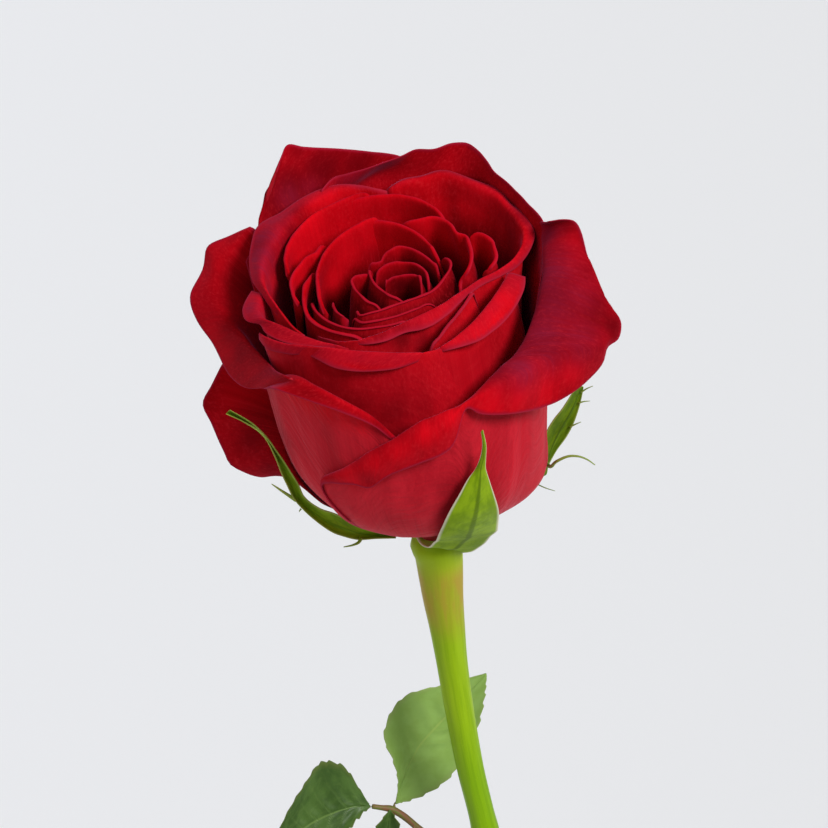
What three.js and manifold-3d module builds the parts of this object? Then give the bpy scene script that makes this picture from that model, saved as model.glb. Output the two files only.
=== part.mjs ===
// A long-stemmed red rose standing in a plain bud vase.
// Millimetres, +Z up, origin at the centre of the vase's flat base.
import * as THREE from 'three';
import Module from 'manifold-3d';

// ---------------------------------------------------------------- driving dimensions
const FLOWER_FOOT = [-20, -22, 300];        // where the petals leave the stem
const FLOWER_AXIS = [-0.12107838, -0.14325796, 0.98225108];  // the head nods forward and left
const PETAL_T = 0.45;                       // petal thickness at the cup
const PETAL_T_LEAST = 0.45;                 // share of that thickness at the claw
const CUP_R = 28;                           // radius at which a petal has its full thickness
// outer radius of the head against height above the foot
const PROFILE = [[0, 3.4], [3, 5.4], [8, 11.6], [15, 20.6], [22, 25.4], [30, 27.8], [40, 28.4], [50, 28.2], [60, 28.2], [80, 29]];
const HEART_SHIFT = [0.9, 1.6];             // centre of the spiral at RIM_H
const CUP_SHIFT = [-0.7, 3.0];              // centre of the cup at RIM_H
const RIM_H = 62;
const UNDER_RIGHT = 0.28;                   // share by which the underside bulges on the right
const WAIST_RIGHT = 0.06;                   // share by which the side above that bulge is flatter
const UNDER_FRONT = 0.12;                   // share by which it is drawn in at the front, near the stem
const CLAW_H = 20;                          // below this the claws draw in, the inner ones most
const SEPAL_T = 0.7;
const LEAFLET_T = 0.5;
const STEM_SIDES = 14;
const VASE_H = 160;
const VASE_SIDES = 44;
// lower stem: x, y, z, radius (inside the neck it leans on the front left, its cut end on the back right)
const STEM_LOW = [[-5.6, -7.2, 190, 2.78], [-3.3, -3.9, 160, 2.78], [-0.6, -0.4, 128, 2.78], [3.4, 4.2, 92, 2.8], [8.6, 9.6, 52, 2.82], [14.4, 15.3, 13.5, 2.85]];
// vase outline: radius, height, from the middle of the base up the outside and down the inside
const VASE_OUT = [[23.5, 0], [25.2, 0.9], [29.6, 6.5], [33.8, 15], [36.8, 27], [37.4, 40], [35.6, 54], [31, 69], [24.4, 85], [18.2, 100], [13.9, 115], [12.1, 130], [11.8, 142], [12.6, 152], [14.2, 158.2]];
const VASE_LIP = [[14.0, 159.6], [12.9, 160], [11.4, 159.5]];
const VASE_IN = [[9.8, 152], [9.0, 142], [9.2, 130], [10.9, 115], [15.0, 101], [21.2, 86], [27.8, 70.5], [32.4, 55], [34.2, 41], [33.6, 28], [30.6, 16.5], [26.4, 9.6], [20, 6.6]];
const VASE_FLOOR = 6;

// ---------------------------------------------------------------- petals
// Each petal: narrow = share of its width at the claw, full = height over which it widens, foot = height of
// the claw, body = share of the head's radius low down, turn = how sharply it leaves that share near the top,
// rows = [angle deg, share of the head's radius, height mm] along the turn and the rim.
const PETALS = {
  guard_front: { narrow: 0.6, full: 16, foot: 0.6, body: 1.0, turn: 3, cols: 22, rows: [
    [[-125.1,1,20.13],[-131.3,1,30.41],[-117,1.02,36.02],[-102.6,1.03,41.46],[-93.4,1.04,44.4],[-83.6,1.05,47.24],[-73.8,1.05,48.43],[-65.1,1.04,48.95],[-56.4,1.03,50.7],[-48.2,1.03,51.97],[-43.7,1.03,52.31],[-39.4,1.03,52.84],[-35.8,1.03,53.57],[-31.9,1.03,54.37],[-28.2,1.03,55.43],[-21,1.035,57],[-16,1.04,58],[-7,1.05,60],[3,1.06,62],[11,1.08,62.5],[16,1.09,62.5],[21,1.1,62.3]],
    [[-126.1,1.02,19.63],[-130,1.03,30.73],[-115.9,1.06,35.74],[-101.2,1.09,40.74],[-92.5,1.11,43.47],[-83.9,1.13,46.07],[-74.9,1.14,47.47],[-65.8,1.08,49.49],[-55.3,1.13,51.08],[-45.8,1.2,52.22],[-34.1,1.212,51.67],[-29.1,1.357,52.61],[-24.7,1.476,52.02],[-21.3,1.52,51.03],[-19.2,1.539,51.05],[-17.2,1.564,51.67],[-15.5,1.572,53.3],[-12.8,1.484,59],[-3.8,1.355,63.66],[5.5,1.234,67.14],[7.1,1.165,67.25],[9.1,1.098,66.78]],
    [[-125.3,1.02,19.44],[-129.6,1.03,30.28],[-114.4,1.05,33.28],[-105.7,1.06,33.4],[-97.2,1.09,37.02],[-85.8,1.1,39.4],[-74.2,1.1,41.43],[-66.2,1.08,48.23],[-61.5,1.13,46.86],[-50.6,1.18,44.74],[-37,1.198,41.83],[-30.3,1.291,42.18],[-23.5,1.412,43.95],[-20.2,1.497,46.52],[-18.3,1.518,48.76],[-15.9,1.585,49.79],[-14,1.605,51.64],[-13.6,1.513,57.86],[-5.5,1.378,62.97],[4.3,1.283,67.84],[5.4,1.198,68.01],[8,1.106,67.28]],
  ] },
  guard_left: { narrow: 0.55, full: 16, foot: 0.8, body: 0.965, turn: 4, cols: 20, rows: [
    [[142,1,52],[150,1,50],[157,1,48],[164,1,47],[171,1,46],[178,1,45.5],[186,1,46],[195,1.01,47.5],[204,1.02,49.5],[213,1.03,51.5],[229.6,1.03,54.93],[239.6,1.03,53.73],[248.4,1.015,51.62],[257.4,1,48.61],[266,0.98,43.28]],
    [[146.1,1.176,63.71],[153.4,1.275,61.3],[156.6,1.333,59.08],[160.9,1.353,56.64],[165.6,1.329,54.56],[172.2,1.221,52.73],[181.3,1.106,51.79],[191.5,1.032,51.41],[205.5,1.002,51.83],[225.2,1.08,55.09],[235,1.08,55.28],[242.4,1.07,54.08],[250.4,1.05,51.5],[258.4,1.02,48.33],[266,0.99,43.02]],
    [[145.8,1.212,63.84],[149.6,1.352,61.88],[152.4,1.492,59.91],[156.4,1.5,56.42],[162.4,1.549,53.26],[167.3,1.481,50.01],[171.7,1.355,46.32],[177,1.28,43.66],[189.7,1.173,43.87],[204.5,1.07,47.21],[226.5,1.16,53.44],[238.2,1.11,52.24],[248.9,1.07,50.21],[258.2,1.03,47.19],[265.8,0.985,42.25]],
  ] },
  guard_back_left: { narrow: 0.45, full: 18, foot: 1.2, body: 0.93, turn: 6, cols: 14, rows: [
    [[168,0.985,46],[160,1.03,52],[152,1.09,58],[146,1.155,61.5],[141,1.17,64],[135,1.2,66],[128,1.21,67],[118,1.19,67],[108,1.14,66],[97,1.1,65],[86,1.085,63.5]],
    [[154.3,1.176,58.96],[141.9,1.169,64.03],[136.8,1.224,65.61],[133.9,1.27,67],[129.6,1.26,69.28],[123.5,1.327,71.98],[120,1.375,72.91],[116.4,1.307,72.49],[105.9,1.202,71.48],[96.3,1.132,70.71],[89.2,1.098,70.17],[86.1,1.102,69.47],[84.2,1.147,68.07]],
  ] },
  guard_back_right: { narrow: 0.45, full: 18, foot: 1.0, body: 0.9, turn: 8, cols: 18, rows: [
    [[123,0.985,58],[111,1.02,63],[96,1.05,66],[80,1.04,66],[64,1.06,65],[48,1.06,63],[32,1.04,60],[16,1.02,57],[0,1,53],[-14,0.99,50],[-28,0.97,46]],
    [[119.9,0.969,68.07],[112.3,1.012,69.05],[107.7,0.98,69.53],[101.5,0.956,70.05],[92.8,0.965,70.69],[84.3,0.996,71.33],[79.5,1.032,71.96],[70.8,1.036,72.29],[64.9,1.123,72.49],[60.7,1.149,72.43],[54.8,1.115,71.98],[50.2,1.081,71.06],[45.1,1.04,70.1],[38.4,1.039,69.15],[25.5,1.062,66.74],[15.8,1.108,64.49],[9.1,1.069,61.84],[-8,1.01,58],[-20.3,0.995,54.37],[-34.2,0.99,51.67]],
  ] },
  guard_low: { narrow: 0.5, full: 12, foot: 0.7, body: 1.0, turn: 3, cols: 11, rows: [
    [[204,1.01,17],[196,1.015,21],[186,1.02,24],[175,1.02,26.5],[162,1.02,29]],
    [[187.1,1.043,19.57],[181.4,1.203,18.98],[175.6,1.61,17.58],[174.6,1.656,18.73],[171.9,1.628,21.11],[168,1.603,25.69],[165.9,1.619,29.07],[162.8,1.529,32.4],[158.6,1.454,35.83]],
  ] },
  cup_left: { narrow: 0.35, full: 20, foot: 2.2, body: 0.825, turn: 1.5, cols: 15, rows: [
    [[-147.9,0.764,57.46],[-154.7,0.802,58.79],[-160.8,0.826,60.15],[-167.1,0.847,61.06],[-175.1,0.886,62.12],[-181.7,0.914,63.12],[-189.1,0.922,64.2],[-199.2,0.921,64.95],[-209.2,0.916,65.64],[-219.6,0.92,66.33],[-229.5,0.927,66.9],[-238.4,0.93,67.32],[-247.8,0.917,67.6],[-256,0.887,67.14],[-262,0.857,66.58],[-267.4,0.854,65.59]],
    [[-152.3,0.762,55.69],[-159,0.815,57.52],[-167.2,0.848,58.54],[-171.7,0.884,59.85],[-179.1,0.933,60.91],[-184.6,0.986,61.88],[-193.5,1.031,63.17],[-201.5,1.062,64.4],[-213.1,1.11,65.46],[-222.4,1.053,65.95],[-232.2,1.033,66.96],[-240.8,1.021,67.33],[-249.1,0.961,67.84],[-256.3,0.894,67.69],[-262.2,0.865,66.92],[-268,0.864,65.85]],
  ] },
  cup_right: { narrow: 0.3, full: 20, foot: 3.0, body: 0.805, turn: 1.5, cols: 20, rows: [
    [[93.4,0.889,65.26],[90.9,0.853,66.6],[86,0.881,67.23],[77.1,0.925,67.35],[69.1,0.989,67.48],[59.1,0.987,67.11],[50.1,0.984,66.66],[42.6,0.987,66.23],[33.5,0.965,65.57],[24.3,0.969,64.42],[17.4,0.971,63.4],[12,0.933,62.43],[6,0.851,61.39],[-2.5,0.725,61.08],[-10.2,0.6,60.9],[-26.1,0.494,60.53],[-49.1,0.436,59.98],[-70.3,0.433,59.6],[-88.9,0.477,59.27],[-104.3,0.565,58.75],[-117.2,0.645,58.34],[-128.3,0.678,57.84],[-138.6,0.67,57.06],[-150.1,0.661,55.99]],
    [[93.6,0.903,65.03],[91.3,0.887,66.26],[86.1,0.923,66.94],[77.6,0.971,67.09],[69.3,1.044,67.25],[59.3,1.037,66.83],[50.2,1.032,66.35],[44.5,1.065,65.63],[35.5,1.035,64.42],[26.6,1.055,63.3],[17.5,1.043,62.02],[12.5,0.984,61.01],[5.4,0.874,59.85],[-3.1,0.743,60.03],[-11.5,0.614,60.01],[-27.1,0.518,59.44],[-49.1,0.508,58.72],[-69.2,0.524,58.21],[-86.3,0.518,58.08],[-101.1,0.597,57.77],[-114.4,0.64,57.59],[-128,0.675,57.44],[-138.5,0.668,56.76],[-150,0.66,55.79]],
  ] },
  cup_front_left: { narrow: 0.35, full: 20, foot: 2.4, body: 0.86, turn: 1.5, cols: 10, rows: [
    [[-178.6,0.929,60.37],[-172.6,0.953,60.39],[-166.6,0.967,60.41],[-161.2,0.962,60.29],[-157,0.916,60.05],[-151.4,0.868,59.76],[-143.9,0.82,59.12],[-134.2,0.777,58.65],[-125.3,0.73,58.15],[-120.7,0.661,56.56],[-119.8,0.549,54.04]],
    [[-183.8,1.003,60.11],[-176.9,1.047,59.72],[-171.7,1.069,59.46],[-165.8,1.058,59.24],[-162.4,0.988,59.04],[-157.1,0.981,58.63],[-148.7,0.93,58.13],[-137.8,0.843,57.92],[-125.7,0.74,57.52],[-121,0.66,55.96],[-120.1,0.548,53.55]],
  ] },
  cup_front: { narrow: 0.4, full: 20, foot: 1.8, body: 0.895, turn: 3, cols: 15, rows: [
    [[-160.8,1.005,57.48],[-155.2,0.997,58.06],[-146.1,0.951,58.52],[-137.4,0.893,58.86],[-130.3,0.847,59.04],[-123.7,0.816,59.08],[-115.5,0.797,58.98],[-101.3,0.783,58.74],[-90.2,0.8,58.6],[-82.5,0.816,58.45],[-75.9,0.826,58.19],[-70.1,0.8,57.61],[-62.7,0.759,56.77],[-53.4,0.732,56.58],[-43.1,0.733,56.89],[-30.4,0.738,57.61],[-16.8,0.774,58.35],[-5.9,0.806,58.53]],
    [[-161.4,1.01,56.1],[-155.5,1.007,56.04],[-147.8,0.972,56.36],[-141.7,0.931,56.67],[-135.5,0.878,57.08],[-128.7,0.87,56.77],[-120.5,0.881,56.38],[-110.7,0.881,56.17],[-99.9,0.859,56.06],[-90.8,0.85,56.24],[-81.3,0.831,56.68],[-72,0.805,56.94],[-62.6,0.749,56],[-53.3,0.725,55.8],[-43.2,0.729,56.09],[-30.8,0.737,56.79],[-17.1,0.772,57.52],[-5.8,0.803,57.83]],
  ] },
  cup_front_right: { narrow: 0.35, full: 20, foot: 2.2, body: 0.865, turn: 1.5, cols: 11, rows: [
    [[-71.5,0.715,56.14],[-67.7,0.787,57.73],[-61.7,0.796,58.37],[-55.1,0.783,58.85],[-47.1,0.772,59.42],[-37,0.756,59.95],[-25.9,0.752,60.46],[-17.5,0.763,60.64],[-11,0.776,60.73],[-4.7,0.783,60.53]],
    [[-70.1,0.755,56.19],[-65.9,0.815,57.15],[-61,0.844,57.39],[-55.9,0.867,57.49],[-50.3,0.894,57.64],[-42.6,0.901,57.92],[-34.2,0.914,58.39],[-22.8,0.917,59.15],[-13.9,0.919,59.71],[-6.3,0.908,59.99]],
  ] },
  cup_fold_right: { narrow: 0.35, full: 20, foot: 2.8, body: 0.835, turn: 1.5, cols: 9, rows: [
    [[-76.7,0.665,49.9],[-73,0.665,54.4],[-69.3,0.665,56.9],[-64.2,0.636,57.33],[-56.6,0.592,58.01],[-46.7,0.575,58.87],[-37.9,0.57,59.71],[-28.5,0.561,60.1],[-23,0.559,60.04],[-18.6,0.559,57.04],[-14.2,0.559,52.04]],
  ] },
  inner_back_left: { narrow: 0.3, full: 20, foot: 3.6, body: 0.775, turn: 1.5, cols: 11, rows: [
    [[148.5,0.814,46.06],[151,0.814,51.06],[154.5,0.814,54.06],[163.6,0.777,58.97],[166,0.778,61.36],[164.9,0.786,62.94],[157.4,0.815,63.97],[148.5,0.842,64.59],[140.8,0.853,65.07],[133.1,0.864,65.52],[126.3,0.865,65.84],[119.7,0.86,66.08],[114.4,0.86,66.26],[109.1,0.866,66.43],[105.2,0.865,66.51],[102.2,0.843,66.46],[100.5,0.843,65.26],[95.9,0.843,59.46]],
  ] },
  inner_back: { narrow: 0.3, full: 20, foot: 3.6, body: 0.8, turn: 1.5, cols: 11, rows: [
    [[121.5,0.883,61.66],[110.3,0.863,65.36],[101.6,0.823,66.16],[97.3,0.805,66.32],[91.8,0.793,66.29],[85.1,0.777,66.2],[79.7,0.756,66.04],[74.4,0.731,65.84],[68.3,0.693,65.55],[62,0.658,65.23],[57.3,0.639,64.01],[57.4,0.694,61.23],[52.9,0.694,57.23],[48.5,0.694,52.23]],
  ] },
  inner_left: { narrow: 0.35, full: 20, foot: 3.6, body: 0.745, turn: 1.5, cols: 11, rows: [
    [[126.3,0.681,54.11],[132.3,0.681,59.61],[138.3,0.681,62.11],[150,0.649,62.99],[157.4,0.677,63.18],[163.8,0.694,62.87],[170.5,0.717,62.51],[177.7,0.728,62.09],[184,0.722,61.7],[190,0.712,61.14],[190.6,0.694,59.8],[182.9,0.683,57.22],[178.4,0.683,53.22],[173.9,0.683,48.22]],
  ] },
  inner_left_lip: { narrow: 0.35, full: 20, foot: 4.0, body: 0.715, turn: 1.5, cols: 11, rows: [
    [[148.2,0.624,51.99],[153.5,0.624,57.49],[158.7,0.624,59.99],[171.5,0.62,61.35],[179.8,0.639,61.43],[187.6,0.652,61],[197.1,0.668,60.47],[203.3,0.673,59.63],[211.3,0.661,59.05],[219.5,0.628,58.47],[231.1,0.597,58.35],[239.1,0.574,58.01],[249.8,0.584,56.51],[260.5,0.594,52.01]],
  ] },
  inner_mid_left: { narrow: 0.3, full: 20, foot: 4.4, body: 0.64, turn: 1.5, cols: 11, rows: [
    [[-155.3,0.508,46.8],[-161.3,0.508,52.8],[-167.4,0.508,55.8],[-161.6,0.542,58.55],[-163.5,0.556,60.63],[-172.8,0.549,61.57],[-191.4,0.562,62.44],[-201.6,0.569,62.91],[-213.9,0.581,63.47],[-226,0.592,63.96],[-235.7,0.602,64.31],[-246.1,0.607,64.59],[-252.8,0.617,64.76],[-257.3,0.621,64.64],[-259.9,0.621,63.04],[-265.9,0.621,57.64]],
  ] },
  inner_mid_back: { narrow: 0.3, full: 20, foot: 4.6, body: 0.68, turn: 1.5, cols: 11, rows: [
    [[123.9,0.675,59.75],[111.9,0.65,63.45],[101.7,0.6,64.25],[96.8,0.561,64.49],[91.9,0.537,64.49],[84.3,0.496,64.27],[76,0.454,64],[66.8,0.411,63.69],[54.1,0.364,63.28],[42.6,0.337,62.75],[40,0.346,61.42],[31.2,0.346,58.42],[21.1,0.346,52.42]],
  ] },
  inner_right_back: { narrow: 0.3, full: 20, foot: 4.2, body: 0.72, turn: 1.5, cols: 11, rows: [
    [[98.2,0.561,55.1],[91.6,0.561,60.6],[85.8,0.561,63.1],[80,0.544,64.28],[71.8,0.559,64.77],[64.3,0.597,64.81],[56.7,0.605,64.65],[49.2,0.59,64.36],[39.8,0.564,63.64],[35.5,0.594,63.27],[28,0.574,62.7],[16.8,0.542,62.16],[7.8,0.512,61.72],[1,0.474,60.91],[1.7,0.432,59.41],[-5.4,0.422,56.41],[-12.5,0.412,51.41]],
  ] },
  inner_right: { narrow: 0.4, full: 20, foot: 4.0, body: 0.75, turn: 1.5, cols: 11, rows: [
    [[44.5,0.634,52.73],[40.6,0.634,57.73],[36.8,0.634,60.73],[33.7,0.625,62.39],[32.5,0.655,63.12],[29.3,0.684,63.35],[25.3,0.707,63.2],[21.8,0.725,62.74],[15.4,0.716,62.36],[10.2,0.711,61.54],[6.5,0.687,61.1],[4.7,0.645,60.36],[7.3,0.605,58.75],[3.2,0.605,55.75],[-0.8,0.605,50.75]],
  ] },
  heart_back: { narrow: 0.35, full: 20, foot: 5.5, body: 0.54, turn: 1.5, cols: 9, rows: [
    [[145.5,0.312,53.41],[138.9,0.312,57.71],[133.7,0.312,59.91],[133.4,0.293,61.36],[127.9,0.266,61.64],[121.2,0.247,61.85],[112.2,0.275,62.36],[101.5,0.295,62.73],[89.9,0.32,62.89],[75.9,0.304,62.76],[61.2,0.282,62.53],[45.3,0.267,62.25],[31.4,0.268,61.8],[20.7,0.281,60.81],[21.5,0.287,59.32],[15.8,0.287,57.12],[8.7,0.287,52.82]],
  ] },
  heart_front: { narrow: 0.35, full: 20, foot: 5.0, body: 0.57, turn: 1.5, cols: 9, rows: [
    [[-161.6,0.354,51.45],[-154.7,0.354,55.75],[-148.9,0.354,57.95],[-135.9,0.376,58.58],[-127.5,0.335,59.05],[-118.2,0.28,59.13],[-103.3,0.216,59.29],[-81.3,0.185,59.42],[-55.2,0.19,59.55],[-39.6,0.213,59.65],[-26.1,0.244,59.8],[-9.9,0.28,60.09],[-0.5,0.319,60.83],[7.6,0.358,61.38],[16.1,0.379,61.66],[24.5,0.378,61.71],[31.3,0.368,61.27],[36.9,0.368,59.67],[44.7,0.368,55.27]],
  ] },
  heart_front_mid: { narrow: 0.35, full: 20, foot: 4.6, body: 0.605, turn: 1.5, cols: 9, rows: [
    [[-154.8,0.403,50.68],[-148.7,0.403,54.98],[-143.7,0.403,57.18],[-126.5,0.427,58.4],[-116.5,0.393,58.65],[-105.9,0.353,58.7],[-95.1,0.325,58.77],[-81.2,0.3,58.9],[-65.3,0.293,59.04],[-52,0.302,59.18],[-41.2,0.302,57.98],[-27.7,0.302,54.18]],
  ] },
  heart_front_low: { narrow: 0.35, full: 20, foot: 4.3, body: 0.67, turn: 1.5, cols: 9, rows: [
    [[-180.8,0.605,52.05],[-176.7,0.605,56.35],[-173.3,0.605,58.55],[-164.2,0.607,59.3],[-157.4,0.601,59.28],[-148.8,0.585,58.93],[-140.2,0.563,58.65],[-131.9,0.536,58.45],[-122.7,0.5,58.34],[-112,0.451,58.34],[-101.1,0.418,58.38],[-93.8,0.399,58.43],[-87.8,0.387,58.48],[-77.3,0.387,57.28],[-65.6,0.387,53.48]],
  ] },
  heart_left: { narrow: 0.35, full: 20, foot: 5.5, body: 0.54, turn: 1.5, cols: 9, rows: [
    [[130.3,0.264,54.15],[141.1,0.264,59.25],[150.4,0.264,60.65],[157,0.292,60.88],[162.4,0.316,61.1],[170.2,0.333,61.12],[181.1,0.318,60.61],[197.6,0.29,60.21],[213.3,0.272,59.6],[227.1,0.243,58.95],[237.2,0.243,57.55],[249,0.243,52.95]],
  ] },
  heart_left_inner: { narrow: 0.35, full: 20, foot: 6, body: 0.51, turn: 1.5, cols: 9, rows: [
    [[127,0.264,54.12],[134.8,0.264,58.42],[141,0.264,60.62],[158.2,0.216,60.7],[177.5,0.172,60.34],[202.6,0.137,60.04],[232.4,0.131,59.79],[263.9,0.128,58.97],[281.1,0.128,57.57],[301.1,0.128,52.97]],
  ] },
  heart_mid: { narrow: 0.35, full: 20, foot: 6.2, body: 0.48, turn: 1.5, cols: 9, rows: [
    [[154.5,0.217,54.01],[145,0.217,58.31],[137.5,0.217,60.51],[130.9,0.214,61.09],[122.5,0.207,61.45],[105.9,0.2,61.64],[87.6,0.189,61.62],[65.8,0.19,61.54],[41.5,0.19,61.32],[18,0.193,60.8],[4.7,0.191,59.88],[-3.8,0.191,57.68],[-14.6,0.191,53.38]],
  ] },
  heart_tip: { narrow: 0.35, full: 20, foot: 6.6, body: 0.44, turn: 1.5, cols: 9, rows: [
    [[187.9,0.116,52.91],[176.5,0.116,56.71],[166.4,0.116,58.91],[168.1,0.11,59.89],[148.9,0.1,60.33],[126,0.085,60.61],[93.7,0.079,60.66],[55.1,0.097,60.67],[28.2,0.123,60.57],[0.9,0.138,60.1],[-4.3,0.138,58.73],[-14.3,0.138,56.53],[-25.7,0.138,52.73]],
  ] },
  heart_scrap: { narrow: 0.3, full: 20, foot: 5.0, body: 0.585, turn: 1.5, cols: 9, rows: [
    [[-179,0.471,57.3],[-161.8,0.475,58.64],[-152.5,0.482,58.89],[-146.9,0.471,58.62],[-146.8,0.435,57.4]],
  ] },
};
const SEPALS = {
  sepal_left: [[[-7.47,-4.3,2.92],[-11.57,-5.8,4.45],[-14.65,-7.3,5.75],[-17.58,-8.8,8.13],[-19.63,-9.8,10.25],[-22.44,-10.3,13.94],[-24.45,-10.3,16.97],[-25.76,-10.3,19.49],[-26.78,-10.3,23.27],[-27.5,-10.3,26.59],[-28.03,-10.3,29.87],[-28.62,-10.3,32.65],[-29.94,-10.8,37.09],[-33,-11.3,40.38],[-35.96,-11.8,42.91]],[[-7.53,-2.9,2.5],[-11.58,-4.4,4.47],[-14.47,-5.9,6.5],[-17.15,-7.4,9.24],[-19.33,-8.4,11.52],[-21.83,-8.9,14.2],[-23.73,-8.9,16.58],[-24.97,-8.9,18.73],[-25.86,-8.9,22.24],[-26.79,-8.9,25.59],[-27.55,-8.9,28.66],[-28.29,-8.9,31.16],[-29.66,-9.4,35.32],[-32.36,-9.9,39.12],[-35.71,-10.4,42.37]],[[-7.31,-4.3,4.19],[-11.29,-5.8,6.6],[-13.98,-7.3,9.35],[-16.39,-8.8,12.44],[-18.68,-9.8,14.87],[-20.87,-10.3,16.53],[-22.65,-10.3,18.26],[-23.81,-10.3,20.03],[-24.57,-10.3,23.25],[-25.69,-10.3,26.62],[-26.68,-10.3,29.46],[-27.57,-10.3,31.67],[-28.98,-10.8,35.51],[-31.3,-11.3,39.81],[-35.04,-11.8,43.77]]],
  sepal_front: [[[-3.72,-1.93,1.68],[-2.85,-4.33,1.22],[-1.22,-7.3,2.07],[0.67,-11.25,6.13],[3.66,-26.16,20.36],[5.84,-28.04,25.71],[8.51,-28.27,30.3],[10.61,-27.77,33.42],[11.94,-27.25,34.79],[13.2,-27.5,37.46],[14.02,-27.74,40.63],[14.14,-28.36,44.38]],[[1.03,-3,-0.64],[2.52,-5.5,0.26],[4.44,-8.5,2.42],[6.55,-12.5,7.04],[9.43,-25.02,19.69],[10.77,-27.08,24.76],[11.84,-27.8,29.35],[12.58,-27.84,32.98],[13.02,-27.66,35.09],[13.75,-27.6,37.46],[14.37,-27.8,40.63],[14.37,-28.4,44.63]],[[5.21,-1.29,-4.84],[7.26,-3.63,-2.89],[9.43,-6.57,0.42],[11.75,-10.5,5.48],[14.35,-17.19,13.95],[15.14,-22.92,21.44],[14.81,-25.42,27.03],[14.3,-26.36,31.44],[13.96,-27.07,34.65],[14.24,-27.42,37.28],[14.69,-27.69,40.51],[14.57,-28.34,44.78]]],
  sepal_right: [[[4.9,0.8,-0.6],[9.1,2.8,2.4],[14.5,4.6,6],[20.1,4.8,9.2],[23.25,2.8,10.21],[23.85,2.8,13.18],[24.3,2.8,16.66],[25.3,2.8,20.55],[27.11,2.8,23.57],[28.95,2.8,25.82],[30.35,2.8,27.87],[31.52,2.8,29.58],[33.06,2.8,30.99]],[[5.4,2.6,-0.6],[9.6,5,2.4],[15,7,6],[20.6,7,9.2],[23.52,4.5,8.79],[24.24,4.5,11.38],[25.46,4.5,14.9],[27.13,4.5,18.47],[28.83,4.5,21.39],[30.35,4.5,23.95],[31.47,4.5,26.17],[32.34,4.5,27.97],[33.35,4.5,29.64]],[[4.9,4.4,-0.6],[9.1,7.2,2.4],[14.5,9.4,6],[20.1,9.2,9.2],[23.86,4.6,8.55],[24.69,4.6,10.74],[26.67,4.6,14.3],[29.03,4.6,17.54],[30.62,4.6,20.35],[31.8,4.6,23.2],[32.63,4.6,25.58],[33.21,4.6,27.49],[33.69,4.6,29.4]]],
  sepal_back_left: [[[-6.97,5.07,2.92],[-10,8.21,4.45],[-12.63,10.42,5.75],[-15.19,12.48,8.13],[-16.94,13.95,10.25],[-18.54,16.31,13.94],[-19.35,18.14,16.97],[-19.89,19.35,19.49],[-20.3,20.27,23.27],[-20.6,20.93,26.59],[-20.81,21.41,29.87],[-21.05,21.96,32.65],[-22.04,22.96,37.09],[-23.75,25.55,40.38],[-25.41,28.05,42.91]],[[-5.71,5.7,2.5],[-8.73,8.79,4.47],[-11.28,10.82,6.5],[-13.74,12.66,9.24],[-15.53,14.24,11.52],[-17.01,16.32,14.2],[-17.78,18.06,16.58],[-18.29,19.19,18.73],[-18.65,20,22.24],[-19.03,20.85,25.59],[-19.33,21.55,28.66],[-19.64,22.22,31.16],[-20.65,23.27,35.32],[-22.2,25.53,39.12],[-24.03,28.4,42.37]],[[-6.9,4.93,4.19],[-9.89,7.96,6.6],[-12.35,9.8,9.35],[-14.71,11.4,12.44],[-16.55,13.08,14.87],[-17.9,14.88,16.53],[-18.62,16.5,18.26],[-19.1,17.56,20.03],[-19.4,18.25,23.25],[-19.86,19.28,26.62],[-20.26,20.19,29.46],[-20.62,20.99,31.67],[-21.65,22.08,35.51],[-23.06,24,39.81],[-25.03,27.21,43.77]]],
  sepal_back_right: [[[2.38,8.28,2.75],[4.29,12.21,4.18],[5.47,15.43,5.4],[6.53,18.54,7.64],[7.32,20.69,9.63],[8.99,23,13.11],[10.43,24.39,15.95],[11.38,25.31,18.32],[12.11,26.01,21.87],[12.63,26.51,25],[13.01,26.88,28.08],[13.43,27.29,30.7],[14.03,28.57,34.87],[15.89,31.05,37.96],[17.67,33.47,40.34]],[[3.4,7.31,2.35],[5.27,11.21,4.2],[6.31,14.3,6.11],[7.2,17.24,8.69],[8.07,19.47,10.83],[9.52,21.57,13.34],[10.89,22.89,15.58],[11.78,23.75,17.61],[12.42,24.36,20.9],[13.09,25.01,24.06],[13.63,25.54,26.94],[14.16,26.05,29.29],[14.8,27.36,33.2],[16.4,29.6,36.77],[18.47,32.29,39.83]],[[2.27,8.17,3.94],[4.09,12.02,6.2],[4.98,14.96,8.79],[5.68,17.72,11.7],[6.63,20.03,13.98],[7.86,21.91,15.54],[9.14,23.14,17.16],[9.97,23.95,18.83],[10.52,24.47,21.85],[11.33,25.26,25.02],[12.04,25.95,27.69],[12.67,26.56,29.77],[13.34,27.9,33.38],[14.67,29.87,37.42],[17.01,32.83,41.14]]],
};
const PRONGS = {
  sepal_left: [[[-25.63,-9.5,18.77],[-27,-9.8,20.42],[-28.54,-10,22.26],[-29.78,-10.2,23.81]],[[-14.26,-6.8,5.67],[-14.73,-7.4,5.17],[-15.97,-8,5.01],[-17.86,-8.4,5.04]]],
  sepal_right: [[[24.4,4.4,11.7],[25,1.6,12.9],[25.7,-1.2,14.9],[26.93,-3,17.3],[29.71,-3.4,18.52],[31.54,-3.6,18.29],[33.14,-3.8,17.4],[34.42,-4,16.14]]],
};
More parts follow.
